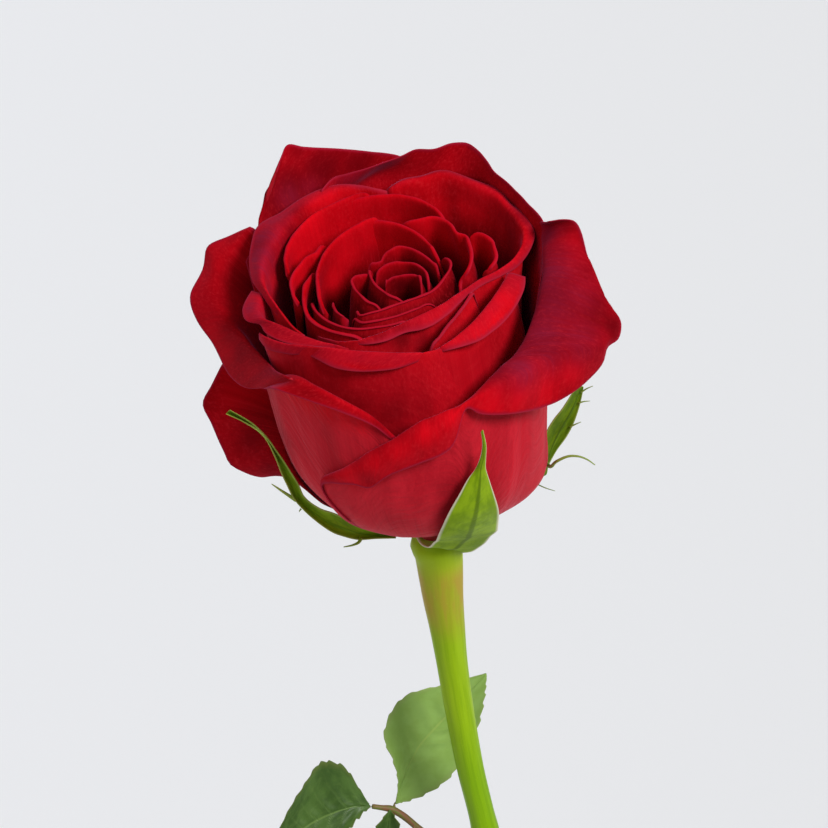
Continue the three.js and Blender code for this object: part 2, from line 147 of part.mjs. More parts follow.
const LEAFLETS = {
  leaflet_upper: [[[-28.17,-4.2,222.27],[-27.74,-4.6,226.72],[-27.69,-5,229.97],[-28.72,-5.4,234.75],[-30.41,-5.2,239.51],[-29.41,-4.6,244.89],[-26.05,-3.6,249.35],[-18.46,-1.6,250.78],[-8.69,0.1,252.78]],[[-28.06,-4,221.88],[-27.07,-3.2,226.06],[-25.97,-2.6,229.32],[-24.32,-2,232.83],[-22.57,-1.4,235.81],[-20.16,-1,238.78],[-17.12,-0.6,242.25],[-13.43,-0.2,246.61],[-8.47,0.2,252.65]],[[-27.73,-4,222.14],[-25.64,-3.6,222.4],[-22.34,-3.4,223.71],[-17.95,-3.2,226.71],[-14.89,-2.8,230.23],[-12.29,-2.2,235.28],[-10.28,-1.4,240.19],[-8.95,-0.6,246.6],[-8.34,0.2,252.22]]],
  leaflet_tip: [[[-33.97,-6,223.07],[-36.58,-5.6,227.89],[-39.17,-5.4,232.17],[-42.41,-6,234.11],[-45,-7,233.98],[-47.82,-9,230.37],[-50.66,-11,225.99],[-54.16,-13.6,219.93],[-58.36,-16,212.14]],[[-33.76,-6,222.68],[-36.37,-7,223.34],[-39.2,-8,223.22],[-42.25,-9,222.58],[-45.52,-10,221.42],[-48.78,-11.4,219.75],[-51.82,-13,217.69],[-54.87,-14.6,215.11],[-58.16,-16,211.61]],[[-33.54,-6,222.42],[-35.27,-8,222.18],[-37.22,-10,221.16],[-39.16,-12,219.37],[-41.34,-13.6,216.79],[-44.18,-14.8,214.46],[-47.67,-15.6,212.91],[-52.04,-16,211.87],[-57.93,-16.2,211.49]]],
  leaflet_lower: [[[-29.59,-6,221.5],[-31.56,-8,219.82],[-33.75,-9.6,216.7],[-35.73,-11,212.91],[-36.84,-12.4,208.59],[-36.86,-13.6,203.59],[-35.78,-14.6,198.96],[-33.81,-15.2,194.56],[-31.54,-15.4,190.4]],[[-29.37,-6,221.63],[-29.82,-6.6,218.36],[-30.04,-7.4,214.68],[-30.27,-8.4,210.6],[-30.5,-9.6,206.12],[-30.73,-11,201.76],[-30.96,-12.4,197.4],[-31.18,-13.8,193.56],[-31.41,-15,190.11]],[[-29.15,-6,221.5],[-28.05,-7.6,220.08],[-26.3,-9,216.29],[-24.76,-10.4,212.5],[-23.88,-11.8,208.18],[-24.32,-13,203.17],[-25.86,-14,198.53],[-28.3,-14.8,194.27],[-31.23,-15.2,190.25]]],
};
const STEM_TOP = [[-19.06, -21.37, 295.18, 4.95], [-18.73, -20.9, 291.61, 4.75], [-18.08, -19.89, 283.88, 4.25], [-17.2, -18.9, 276.31, 3.75], [-16.32, -17.86, 268.39, 3.35], [-14.98, -16.45, 257.67, 3.12], [-13.41, -15.03, 246.77, 3.0], [-11.82, -13.76, 237.07, 2.9], [-9.76, -12.39, 226.66, 2.82], [-8.6, -11.61, 220.67, 2.78]];

// ---------------------------------------------------------------- small maths
const sub = (a, b) => [a[0] - b[0], a[1] - b[1], a[2] - b[2]];
const add = (a, b) => [a[0] + b[0], a[1] + b[1], a[2] + b[2]];
const mul = (a, k) => [a[0] * k, a[1] * k, a[2] * k];
const dot = (a, b) => a[0] * b[0] + a[1] * b[1] + a[2] * b[2];
const cross = (a, b) => [a[1] * b[2] - a[2] * b[1], a[2] * b[0] - a[0] * b[2], a[0] * b[1] - a[1] * b[0]];
const len = (a) => Math.hypot(a[0], a[1], a[2]);
const unit = (a) => { const l = len(a) || 1; return [a[0] / l, a[1] / l, a[2] / l]; };
const rad = (d) => d * Math.PI / 180;

const AX = unit(FLOWER_AXIS);
const XF = unit(sub([1, 0, 0], mul(AX, AX[0])));
const YF = cross(AX, XF);
const toWorld = (p) => add(FLOWER_FOOT, add(add(mul(XF, p[0]), mul(YF, p[1])), mul(AX, p[2])));

function table1(tab, x) {
  const n = tab.length;
  if (x <= tab[0][0]) return tab[0][1] + (tab[1][1] - tab[0][1]) / (tab[1][0] - tab[0][0]) * (x - tab[0][0]);
  if (x >= tab[n - 1][0]) return tab[n - 1][1];
  let i = 0;
  while (tab[i + 1][0] < x) i++;
  const sl = (k) => k <= 0 ? (tab[1][1] - tab[0][1]) / (tab[1][0] - tab[0][0])
    : k >= n - 1 ? (tab[n - 1][1] - tab[n - 2][1]) / (tab[n - 1][0] - tab[n - 2][0])
      : (tab[k + 1][1] - tab[k - 1][1]) / (tab[k + 1][0] - tab[k - 1][0]);
  const h = tab[i + 1][0] - tab[i][0], t = (x - tab[i][0]) / h;
  const m0 = sl(i) * h, m1 = sl(i + 1) * h;
  return (2 * t ** 3 - 3 * t * t + 1) * tab[i][1] + (t ** 3 - 2 * t * t + t) * m0
    + (3 * t * t - 2 * t ** 3) * tab[i + 1][1] + (t ** 3 - t * t) * m1;
}
const headR = (h) => table1(PROFILE, h);
const rise = (h) => { const q = Math.max(0, h) / RIM_H; return q < 1 ? q ** 1.5 : 1; };
// the underside of the head is fuller on the right and drawn up in front
const under = (th, h) => {
  const right = Math.max(0, Math.cos(rad(th + 4))) ** 2.5, front = Math.max(0, Math.cos(rad(th + 100)));
  return 1 + right ** 2 * (UNDER_RIGHT * Math.exp(-(((h - 11) / 6.5) ** 2)) - WAIST_RIGHT * Math.exp(-(((h - 33) / 10) ** 2)))
    - UNDER_FRONT * front ** 2 * Math.exp(-(((h - 5) / 4) ** 2));
};
// angle, share of the radius, height -> point in the head's own axes
function place(th, s, h) {
  const f = rise(h), R = headR(h) * under(th, h), t = rad(th);
  return [(1 - s) * HEART_SHIFT[0] * f + s * (CUP_SHIFT[0] * f + R * Math.cos(t)),
    (1 - s) * HEART_SHIFT[1] * f + s * (CUP_SHIFT[1] * f + R * Math.sin(t)), h];
}

// positions of a row's points along it, 0 to 1; rows with the same number of points share them
function stations(rows) {
  const cum = rows.map((r) => {
    const c = [0];
    for (let i = 1; i < r.length; i++) c.push(c[i - 1] + 1e-6
      + Math.hypot((r[i][0] - r[i - 1][0]) * 0.5, (r[i][1] - r[i - 1][1]) * 28, r[i][2] - r[i - 1][2]));
    return c.map((v) => v / c[c.length - 1]);
  });
  if (rows.length > 1 && rows.every((r) => r.length === rows[0].length)) {
    const m = cum[0].map((_, i) => cum.reduce((a, c) => a + c[i], 0) / cum.length);
    return rows.map(() => m);
  }
  return cum;
}
function resample(P, par, m) {
  const n = P.length, out = [], K = P[0].length;
  const comb = (a, b, k) => a.map((v, i) => (v - b[i]) * k);
  const tang = (k) => {
    if (k === 0) return comb(P[1], P[0], 1 / (par[1] - par[0]));
    if (k === n - 1) return comb(P[n - 1], P[n - 2], 1 / (par[n - 1] - par[n - 2]));
    const a1 = comb(P[k], P[k - 1], 1 / (par[k] - par[k - 1])), a2 = comb(P[k + 1], P[k], 1 / (par[k + 1] - par[k]));
    const w1 = par[k + 1] - par[k], w2 = par[k] - par[k - 1];
    return a1.map((v, i) => (v * w1 + a2[i] * w2) / (w1 + w2));
  };
  for (let q = 0; q < m; q++) {
    const x = q / (m - 1);
    let i = 0;
    while (i < n - 2 && par[i + 1] <= x) i++;
    const dt = par[i + 1] - par[i], t = (x - par[i]) / dt, m0 = tang(i), m1 = tang(i + 1), o = [];
    for (let k = 0; k < K; k++) o.push((2 * t ** 3 - 3 * t * t + 1) * P[i][k] + (t ** 3 - 2 * t * t + t) * m0[k] * dt
      + (3 * t * t - 2 * t ** 3) * P[i + 1][k] + (t ** 3 - t * t) * m1[k] * dt);
    out.push(o);
  }
  return out;
}

// middle surface of a petal: rows from the claw to the rim
function petalGrid(p, bodyV) {
  const m = p.cols, par = stations(p.rows);
  const R = p.rows.map((r, i) => resample(r, par[i], m));
  const R0 = R[0], out = [];
  const at = (u, k) => { const x = u * (m - 1), i = Math.min(m - 2, Math.floor(x)); return R0[i][k] + (R0[i + 1][k] - R0[i][k]) * (x - i); };
  for (const v of bodyV) {
    const row = [];
    for (let j = 0; j < m; j++) {
      const h = p.foot + (R0[j][2] - p.foot) * v;
      const F = p.narrow + (1 - p.narrow) * Math.sin(Math.PI / 2 * Math.min(1, (h - p.foot) / p.full));
      const u = 0.5 + (j / (m - 1) - 0.5) * F;
      const over = at(u, 1) - p.body;
      const s = p.body + over * v ** (over > 0 ? Math.max(4, p.turn) : p.turn);
      row.push(place(at(u, 0), s < 1 ? s ** (1 + 3 * Math.max(0, 1 - h / CLAW_H)) : s, h));
    }
    out.push(row);
  }
  for (const r of R) out.push(r.map((q) => place(...q)));
  return out;
}

// a closed skin of the given thickness round a grid of points; thick(i, j) scales it
function shell(grid, t, thick) {
  const n = grid.length, m = grid[0].length, vp = [], tri = [];
  const N = grid.map((row, i) => row.map((_, j) => {
    const a = grid[Math.min(n - 1, i + 1)][j], b = grid[Math.max(0, i - 1)][j];
    const c = row[Math.min(m - 1, j + 1)], d = row[Math.max(0, j - 1)];
    return unit(cross(sub(c, d), sub(a, b)));
  }));
  for (const side of [1, -1]) for (let i = 0; i < n; i++) for (let j = 0; j < m; j++) {
    const k = side * t / 2 * (thick ? thick(i, j) : 1);
    vp.push(...add(grid[i][j], mul(N[i][j], k)));
  }
  const A = (i, j) => i * m + j, B = (i, j) => n * m + i * m + j;
  for (let i = 0; i < n - 1; i++) for (let j = 0; j < m - 1; j++) {
    tri.push(A(i, j), A(i, j + 1), A(i + 1, j + 1), A(i, j), A(i + 1, j + 1), A(i + 1, j));
    tri.push(B(i, j), B(i + 1, j + 1), B(i, j + 1), B(i, j), B(i + 1, j), B(i + 1, j + 1));
  }
  const wall = (a, b, c, d) => tri.push(a, b, c, a, c, d);
  for (let j = 0; j < m - 1; j++) {
    wall(A(0, j + 1), A(0, j), B(0, j), B(0, j + 1));
    wall(A(n - 1, j), A(n - 1, j + 1), B(n - 1, j + 1), B(n - 1, j));
  }
  for (let i = 0; i < n - 1; i++) {
    wall(A(i, 0), A(i + 1, 0), B(i + 1, 0), B(i, 0));
    wall(A(i + 1, m - 1), A(i, m - 1), B(i, m - 1), B(i + 1, m - 1));
  }
  return { vp, tri };
}

// a closed round bar along a list of points with a radius each
function bar(path, sides, perSpan) {
  const par = [0];
  for (let i = 1; i < path.length; i++) par.push(par[i - 1] + len(sub(path[i], path[i - 1])));
  const P = resample(path, par.map((v) => v / par[par.length - 1]), (path.length - 1) * perSpan + 1);
  const n = P.length, vp = [], tri = [];
  let side = null;
  for (let i = 0; i < n; i++) {
    const t = unit(sub(P[Math.min(n - 1, i + 1)], P[Math.max(0, i - 1)]));
    side = side === null ? unit(cross(t, Math.abs(t[0]) < 0.9 ? [1, 0, 0] : [0, 1, 0])) : unit(sub(side, mul(t, dot(side, t))));
    const up = cross(t, side);
    for (let k = 0; k < sides; k++) {
      const a = 2 * Math.PI * k / sides, r = P[i][3];
      vp.push(...add(P[i].slice(0, 3), add(mul(side, r * Math.cos(a)), mul(up, r * Math.sin(a)))));
    }
  }
  const I = (i, k) => i * sides + (k % sides);
  for (let i = 0; i < n - 1; i++) for (let k = 0; k < sides; k++)
    tri.push(I(i, k), I(i, k + 1), I(i + 1, k + 1), I(i, k), I(i + 1, k + 1), I(i + 1, k));
  const c0 = vp.length / 3; vp.push(...P[0].slice(0, 3));
  const c1 = vp.length / 3; vp.push(...P[n - 1].slice(0, 3));
  for (let k = 0; k < sides; k++) {
    tri.push(c0, I(0, k + 1), I(0, k));
    tri.push(c1, I(n - 1, k), I(n - 1, k + 1));
  }
  return { vp, tri };
}

// a closed turned body about +Z; the outline starts and ends on the axis
function turned(outline, sides) {
  const vp = [0, 0, outline[0][1]], tri = [], n = outline.length;
  for (const [r, z] of outline) for (let k = 0; k < sides; k++) {
    const a = 2 * Math.PI * k / sides;
    vp.push(r * Math.cos(a), r * Math.sin(a), z);
  }
  const I = (i, k) => 1 + i * sides + (k % sides);
  for (let k = 0; k < sides; k++) tri.push(0, I(0, k + 1), I(0, k));
  for (let i = 0; i < n - 1; i++) for (let k = 0; k < sides; k++)
    tri.push(I(i, k), I(i, k + 1), I(i + 1, k + 1), I(i, k), I(i + 1, k + 1), I(i + 1, k));
  const c = vp.length / 3; vp.push(0, 0, VASE_FLOOR);
  for (let k = 0; k < sides; k++) tri.push(c, I(n - 1, k), I(n - 1, k + 1));
  return { vp, tri };
}

// ---------------------------------------------------------------- solids
const wasm = await Module();
wasm.setup();
function solid({ vp, tri }) {
  const mesh = new wasm.Mesh({ numProp: 3, vertProperties: new Float32Array(vp), triVerts: new Uint32Array(tri) });
  mesh.merge();
  let s = new wasm.Manifold(mesh);
  if (s.volume() < 0) {
    const flip = [];
    for (let i = 0; i < tri.length; i += 3) flip.push(tri[i], tri[i + 2], tri[i + 1]);
    const m2 = new wasm.Mesh({ numProp: 3, vertProperties: new Float32Array(vp), triVerts: new Uint32Array(flip) });
    m2.merge();
    s = new wasm.Manifold(m2);
  }
  return s;
}
function largest(s) {
  const parts = s.decompose();
  parts.sort((a, b) => b.volume() - a.volume());
  return parts[0];
}

const thin = (grid) => (i, j) => Math.max(PETAL_T_LEAST, Math.min(1, headR(grid[i][j][2]) / CUP_R));
const shells = {}, wide = {};
for (const [name, p] of Object.entries(PETALS)) {
  const outer = name.startsWith('guard') || name.startsWith('cup');
  const grid = petalGrid(p, outer ? [0, 0.08, 0.16, 0.25, 0.35, 0.5, 0.76] : [0, 0.14, 0.3, 0.5, 0.78]);
  const th = thin(grid);
  const w = grid.map((r) => r.map(toWorld));
  shells[name] = solid(shell(w, PETAL_T, (i, j) => th(i, j)));
  wide[name] = (extra) => solid(shell(w, PETAL_T, (i, j) => th(i, j) + extra));
}
for (const [name, rails] of Object.entries(SEPALS)) {
  const rows = rails[0].map((_, i) => [rails[0][i], rails[1][i], rails[2][i]]);
  const w = rows.map((r) => r.map(toWorld));
  let s = solid(shell(w, SEPAL_T, (i) => i > rows.length - 3 ? 0.7 : 1));
  for (const path of PRONGS[name] || []) s = s.add(solid(bar(path.map((q, i) => [...toWorld(q), 0.5 - 0.32 * i / (path.length - 1)]), 6, 1)));
  shells[name] = largest(s);
  wide[name] = (extra) => solid(shell(w, SEPAL_T + extra));
}
// stem with its swollen top and the small cone the petals grow on
const down = (k, r) => [...toWorld([0, 0, k]), r];
const stemPath = [down(4.4, 0.25), down(3.4, 0.8), down(1.6, 1.7), down(0.4, 2.8), down(-0.2, 4.5), down(-1.3, 5.1), ...STEM_TOP.slice(0), ...STEM_LOW];
shells.stem = solid(bar(stemPath, STEM_SIDES, 1));
wide.stem = () => solid(bar(stemPath.map((q) => [q[0], q[1], q[2], q[3] + 0.3]), STEM_SIDES, 1));
const stalk = [[-10.9, -9.7, 206.2, 1.25], [-13.2, -8.6, 208.2, 0.95], [-17.6, -6.8, 212.2, 0.8], [-23.2, -5.2, 216.4, 0.75], [-27.2, -5, 220.0, 0.8], [-29.2, -5.1, 221.3, 0.8], [-31.2, -5.5, 221.9, 0.6], [-33.2, -5.9, 222.5, 0.55]];
shells.leaf_stalk = solid(bar(stalk, 8, 1)).subtract(wide.stem());
wide.leaf_stalk = () => solid(bar(stalk.map((q) => [q[0], q[1], q[2], q[3] + 0.3]), 8, 1));
for (const [name, rails] of Object.entries(LEAFLETS)) {
  const rows = rails[0].map((_, i) => {
    const [l, c, r] = [rails[0][i], rails[1][i], rails[2][i]];
    const mid = (a, b) => mul(add(a, b), 0.5);
    return [l, mid(l, c), c, mid(c, r), r];
  });
  shells[name] = solid(shell(rows, LEAFLET_T));
  wide[name] = (extra) => solid(shell(rows, LEAFLET_T + extra));
}
shells.vase = solid(turned([...VASE_OUT, ...VASE_LIP, ...VASE_IN, [14, VASE_FLOOR]], VASE_SIDES));

// neighbours are kept clear of each other: the later piece gives way
const order = ['vase', 'stem', 'leaf_stalk', 'leaflet_upper', 'leaflet_tip', 'leaflet_lower', ...Object.keys(PETALS), ...Object.keys(SEPALS)];
const done = [];
for (const name of order) {
  let s = shells[name];
  for (const other of done) {
    for (const extra of [0.5, 0.9, 1.4]) {
      if (s.intersect(shells[other]).volume() < 1e-3) break;
      s = largest(s.subtract(wide[other](extra)));
    }
    if (s.intersect(shells[other]).volume() > 1e-3) {
      for (const d of [[0, 0, 0], [0.08, 0, 0], [-0.08, 0, 0], [0, 0.08, 0], [0, -0.08, 0], [0, 0, 0.08], [0, 0, -0.08]]) s = s.subtract(shells[other].translate(d));
      s = largest(s);
    }
  }
  shells[name] = largest(s);
  done.push(name);
}

// ---------------------------------------------------------------- nodes
const COLOURS = { petal: 0xa80a1e, sepal: 0x5d7d1c, stem: 0x86a832, leaf: 0x44602c, vase: 0xe9e6df };
const kind = (n) => n in PETALS ? 'petal' : n in SEPALS ? 'sepal' : n === 'stem' || n === 'leaf_stalk' ? 'stem' : n === 'vase' ? 'vase' : 'leaf';
const group = new THREE.Group();
group.name = 'rose_in_bud_vase';
for (const name of order) {
  const m = shells[name].getMesh();
  const g = new THREE.BufferGeometry();
  g.setAttribute('position', new THREE.BufferAttribute(new Float32Array(m.vertProperties), 3));
  g.setIndex(new THREE.BufferAttribute(new Uint32Array(m.triVerts), 1));
  g.computeVertexNormals();
  const k = kind(name);
  const mesh = new THREE.Mesh(g, new THREE.MeshStandardMaterial({ color: COLOURS[k], roughness: k === 'vase' ? 0.2 : 0.6 }));
  mesh.name = name;
  group.add(mesh);
}
export default group;
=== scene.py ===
import math
import bpy
import numpy as np
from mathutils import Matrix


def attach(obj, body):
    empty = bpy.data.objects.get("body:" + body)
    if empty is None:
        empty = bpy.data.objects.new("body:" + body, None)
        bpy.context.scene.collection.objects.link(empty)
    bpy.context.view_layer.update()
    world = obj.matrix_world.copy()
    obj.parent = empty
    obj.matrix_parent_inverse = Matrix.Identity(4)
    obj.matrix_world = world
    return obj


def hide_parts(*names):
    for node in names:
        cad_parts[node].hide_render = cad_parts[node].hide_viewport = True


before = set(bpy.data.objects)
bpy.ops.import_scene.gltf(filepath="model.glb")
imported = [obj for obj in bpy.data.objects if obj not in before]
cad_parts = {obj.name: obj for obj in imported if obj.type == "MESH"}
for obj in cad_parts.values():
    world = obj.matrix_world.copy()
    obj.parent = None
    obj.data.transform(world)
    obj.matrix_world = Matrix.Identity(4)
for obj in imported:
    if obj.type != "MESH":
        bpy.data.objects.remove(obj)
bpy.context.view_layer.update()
MM = 0.001

# ------------------------------------------------------------------ the head's own axes
FOOT = np.array([-20.0, -22.0, 300.0])                       # where the petals leave the stem
AX = np.array([-0.12107838, -0.14325796, 0.98225108])        # the head nods forward and left
AX /= np.linalg.norm(AX)
XF = np.array([1.0, 0.0, 0.0]) - AX * AX[0]
XF /= np.linalg.norm(XF)
YF = np.cross(AX, XF)
PROFILE = [[0, 3.4], [3, 5.4], [8, 11.6], [15, 20.6], [22, 25.4], [30, 27.8], [40, 28.4], [50, 28.2], [60, 28.2], [80, 29]]
HEART = (0.9, 1.6)
CUP = (-0.7, 3.0)
RIM_H = 62.0
CLAW_H = 20.0


def to_world(p):
    p = np.asarray(p, float)
    return FOOT + p[..., 0:1] * XF + p[..., 1:2] * YF + p[..., 2:3] * AX


def table1(tab, x):
    """A smooth curve through a table of (x, y) pairs."""
    t = np.asarray(tab, float)
    X, Y = t[:, 0], t[:, 1]
    sl = np.empty(len(X))
    sl[0] = (Y[1] - Y[0]) / (X[1] - X[0])
    sl[-1] = (Y[-1] - Y[-2]) / (X[-1] - X[-2])
    sl[1:-1] = (Y[2:] - Y[:-2]) / (X[2:] - X[:-2])
    x = np.asarray(x, float)
    xc = np.clip(x, X[0], X[-1])
    i = np.clip(np.searchsorted(X, xc, side="right") - 1, 0, len(X) - 2)
    h = X[i + 1] - X[i]
    u = (xc - X[i]) / h
    y = ((2 * u**3 - 3 * u * u + 1) * Y[i] + (u**3 - 2 * u * u + u) * sl[i] * h
         + (3 * u * u - 2 * u**3) * Y[i + 1] + (u**3 - u * u) * sl[i + 1] * h)
    return y + np.where(x < X[0], (x - X[0]) * sl[0], 0)


def head_r(h):
    return table1(PROFILE, h)


def place(th, s, h):
    """Angle in degrees, share of the head's radius and height above its foot, to a point in the head's axes."""
    f = np.clip(h, 0, None) / RIM_H
    f = np.where(f < 1, f**1.5, 1.0)
    t = np.radians(th)
    right, front = np.clip(np.cos(t + math.radians(4)), 0, None)**2.5, np.clip(np.cos(t + math.radians(100)), 0, None)
    R = head_r(h) * (1 + right**2 * (0.28 * np.exp(-((h - 11) / 6.5)**2) - 0.06 * np.exp(-((h - 33) / 10)**2)) - 0.12 * front**2 * np.exp(-((h - 5) / 4)**2))
    return np.stack([(1 - s) * HEART[0] * f + s * (CUP[0] * f + R * np.cos(t)),
                     (1 - s) * HEART[1] * f + s * (CUP[1] * f + R * np.sin(t)), h + 0 * s], -1)


def spline(P, par, x):
    """A smooth curve through the rows of P, which sit at the rising numbers par, at each number in x."""
    P, par, x = np.asarray(P, float), np.asarray(par, float), np.asarray(x, float)
    shape = (-1,) + (1,) * (P.ndim - 1)
    w = np.diff(par).reshape(shape)
    d = np.diff(P, axis=0) / w
    T = np.empty_like(P)
    T[0], T[-1] = d[0], d[-1]
    T[1:-1] = (d[:-1] * w[1:] + d[1:] * w[:-1]) / (w[1:] + w[:-1])
    i = np.clip(np.searchsorted(par, x, side="right") - 1, 0, len(par) - 2)
    dt = (par[i + 1] - par[i]).reshape(shape)
    u = ((x - par[i]).reshape(shape)) / dt
    return ((2 * u**3 - 3 * u * u + 1) * P[i] + (u**3 - 2 * u * u + u) * T[i] * dt
            + (3 * u * u - 2 * u**3) * P[i + 1] + (u**3 - u * u) * T[i + 1] * dt)


def lengths(P):
    return np.concatenate([[0], np.cumsum(np.linalg.norm(np.diff(np.asarray(P, float), axis=0), axis=-1))])


def stations(rows):
    cum = []
    for r in rows:
        r = np.asarray(r, float)
        step = np.sqrt(((np.diff(r, axis=0) * np.array([0.5, 28, 1.0]))**2).sum(1)) + 1e-6
        c = np.concatenate([[0], np.cumsum(step)])
        cum.append(c / c[-1])
    if len(rows) > 1 and all(len(r) == len(rows[0]) for r in rows):
        m = sum(cum) / len(cum)
        return [m] * len(rows)
    return cum


def wave(x, y, seed, octaves=3):
    """A smooth, seeded, repeatable unevenness, about -1 to 1."""
    g = np.random.RandomState(seed)
    out, amp, tot = 0, 1.0, 0
    for o in range(octaves):
        for _ in range(3):
            a, b, c = g.uniform(0.5, 1.2) * 2**o, g.uniform(0.5, 1.2) * 2**o, g.uniform(0, 6.28)
            sa, sb = g.choice([-1, 1]), g.choice([-1, 1])
            out = out + amp * np.sin(sa * a * x + sb * b * y + c) / 3
        tot += amp
        amp *= 0.5
    return out / tot


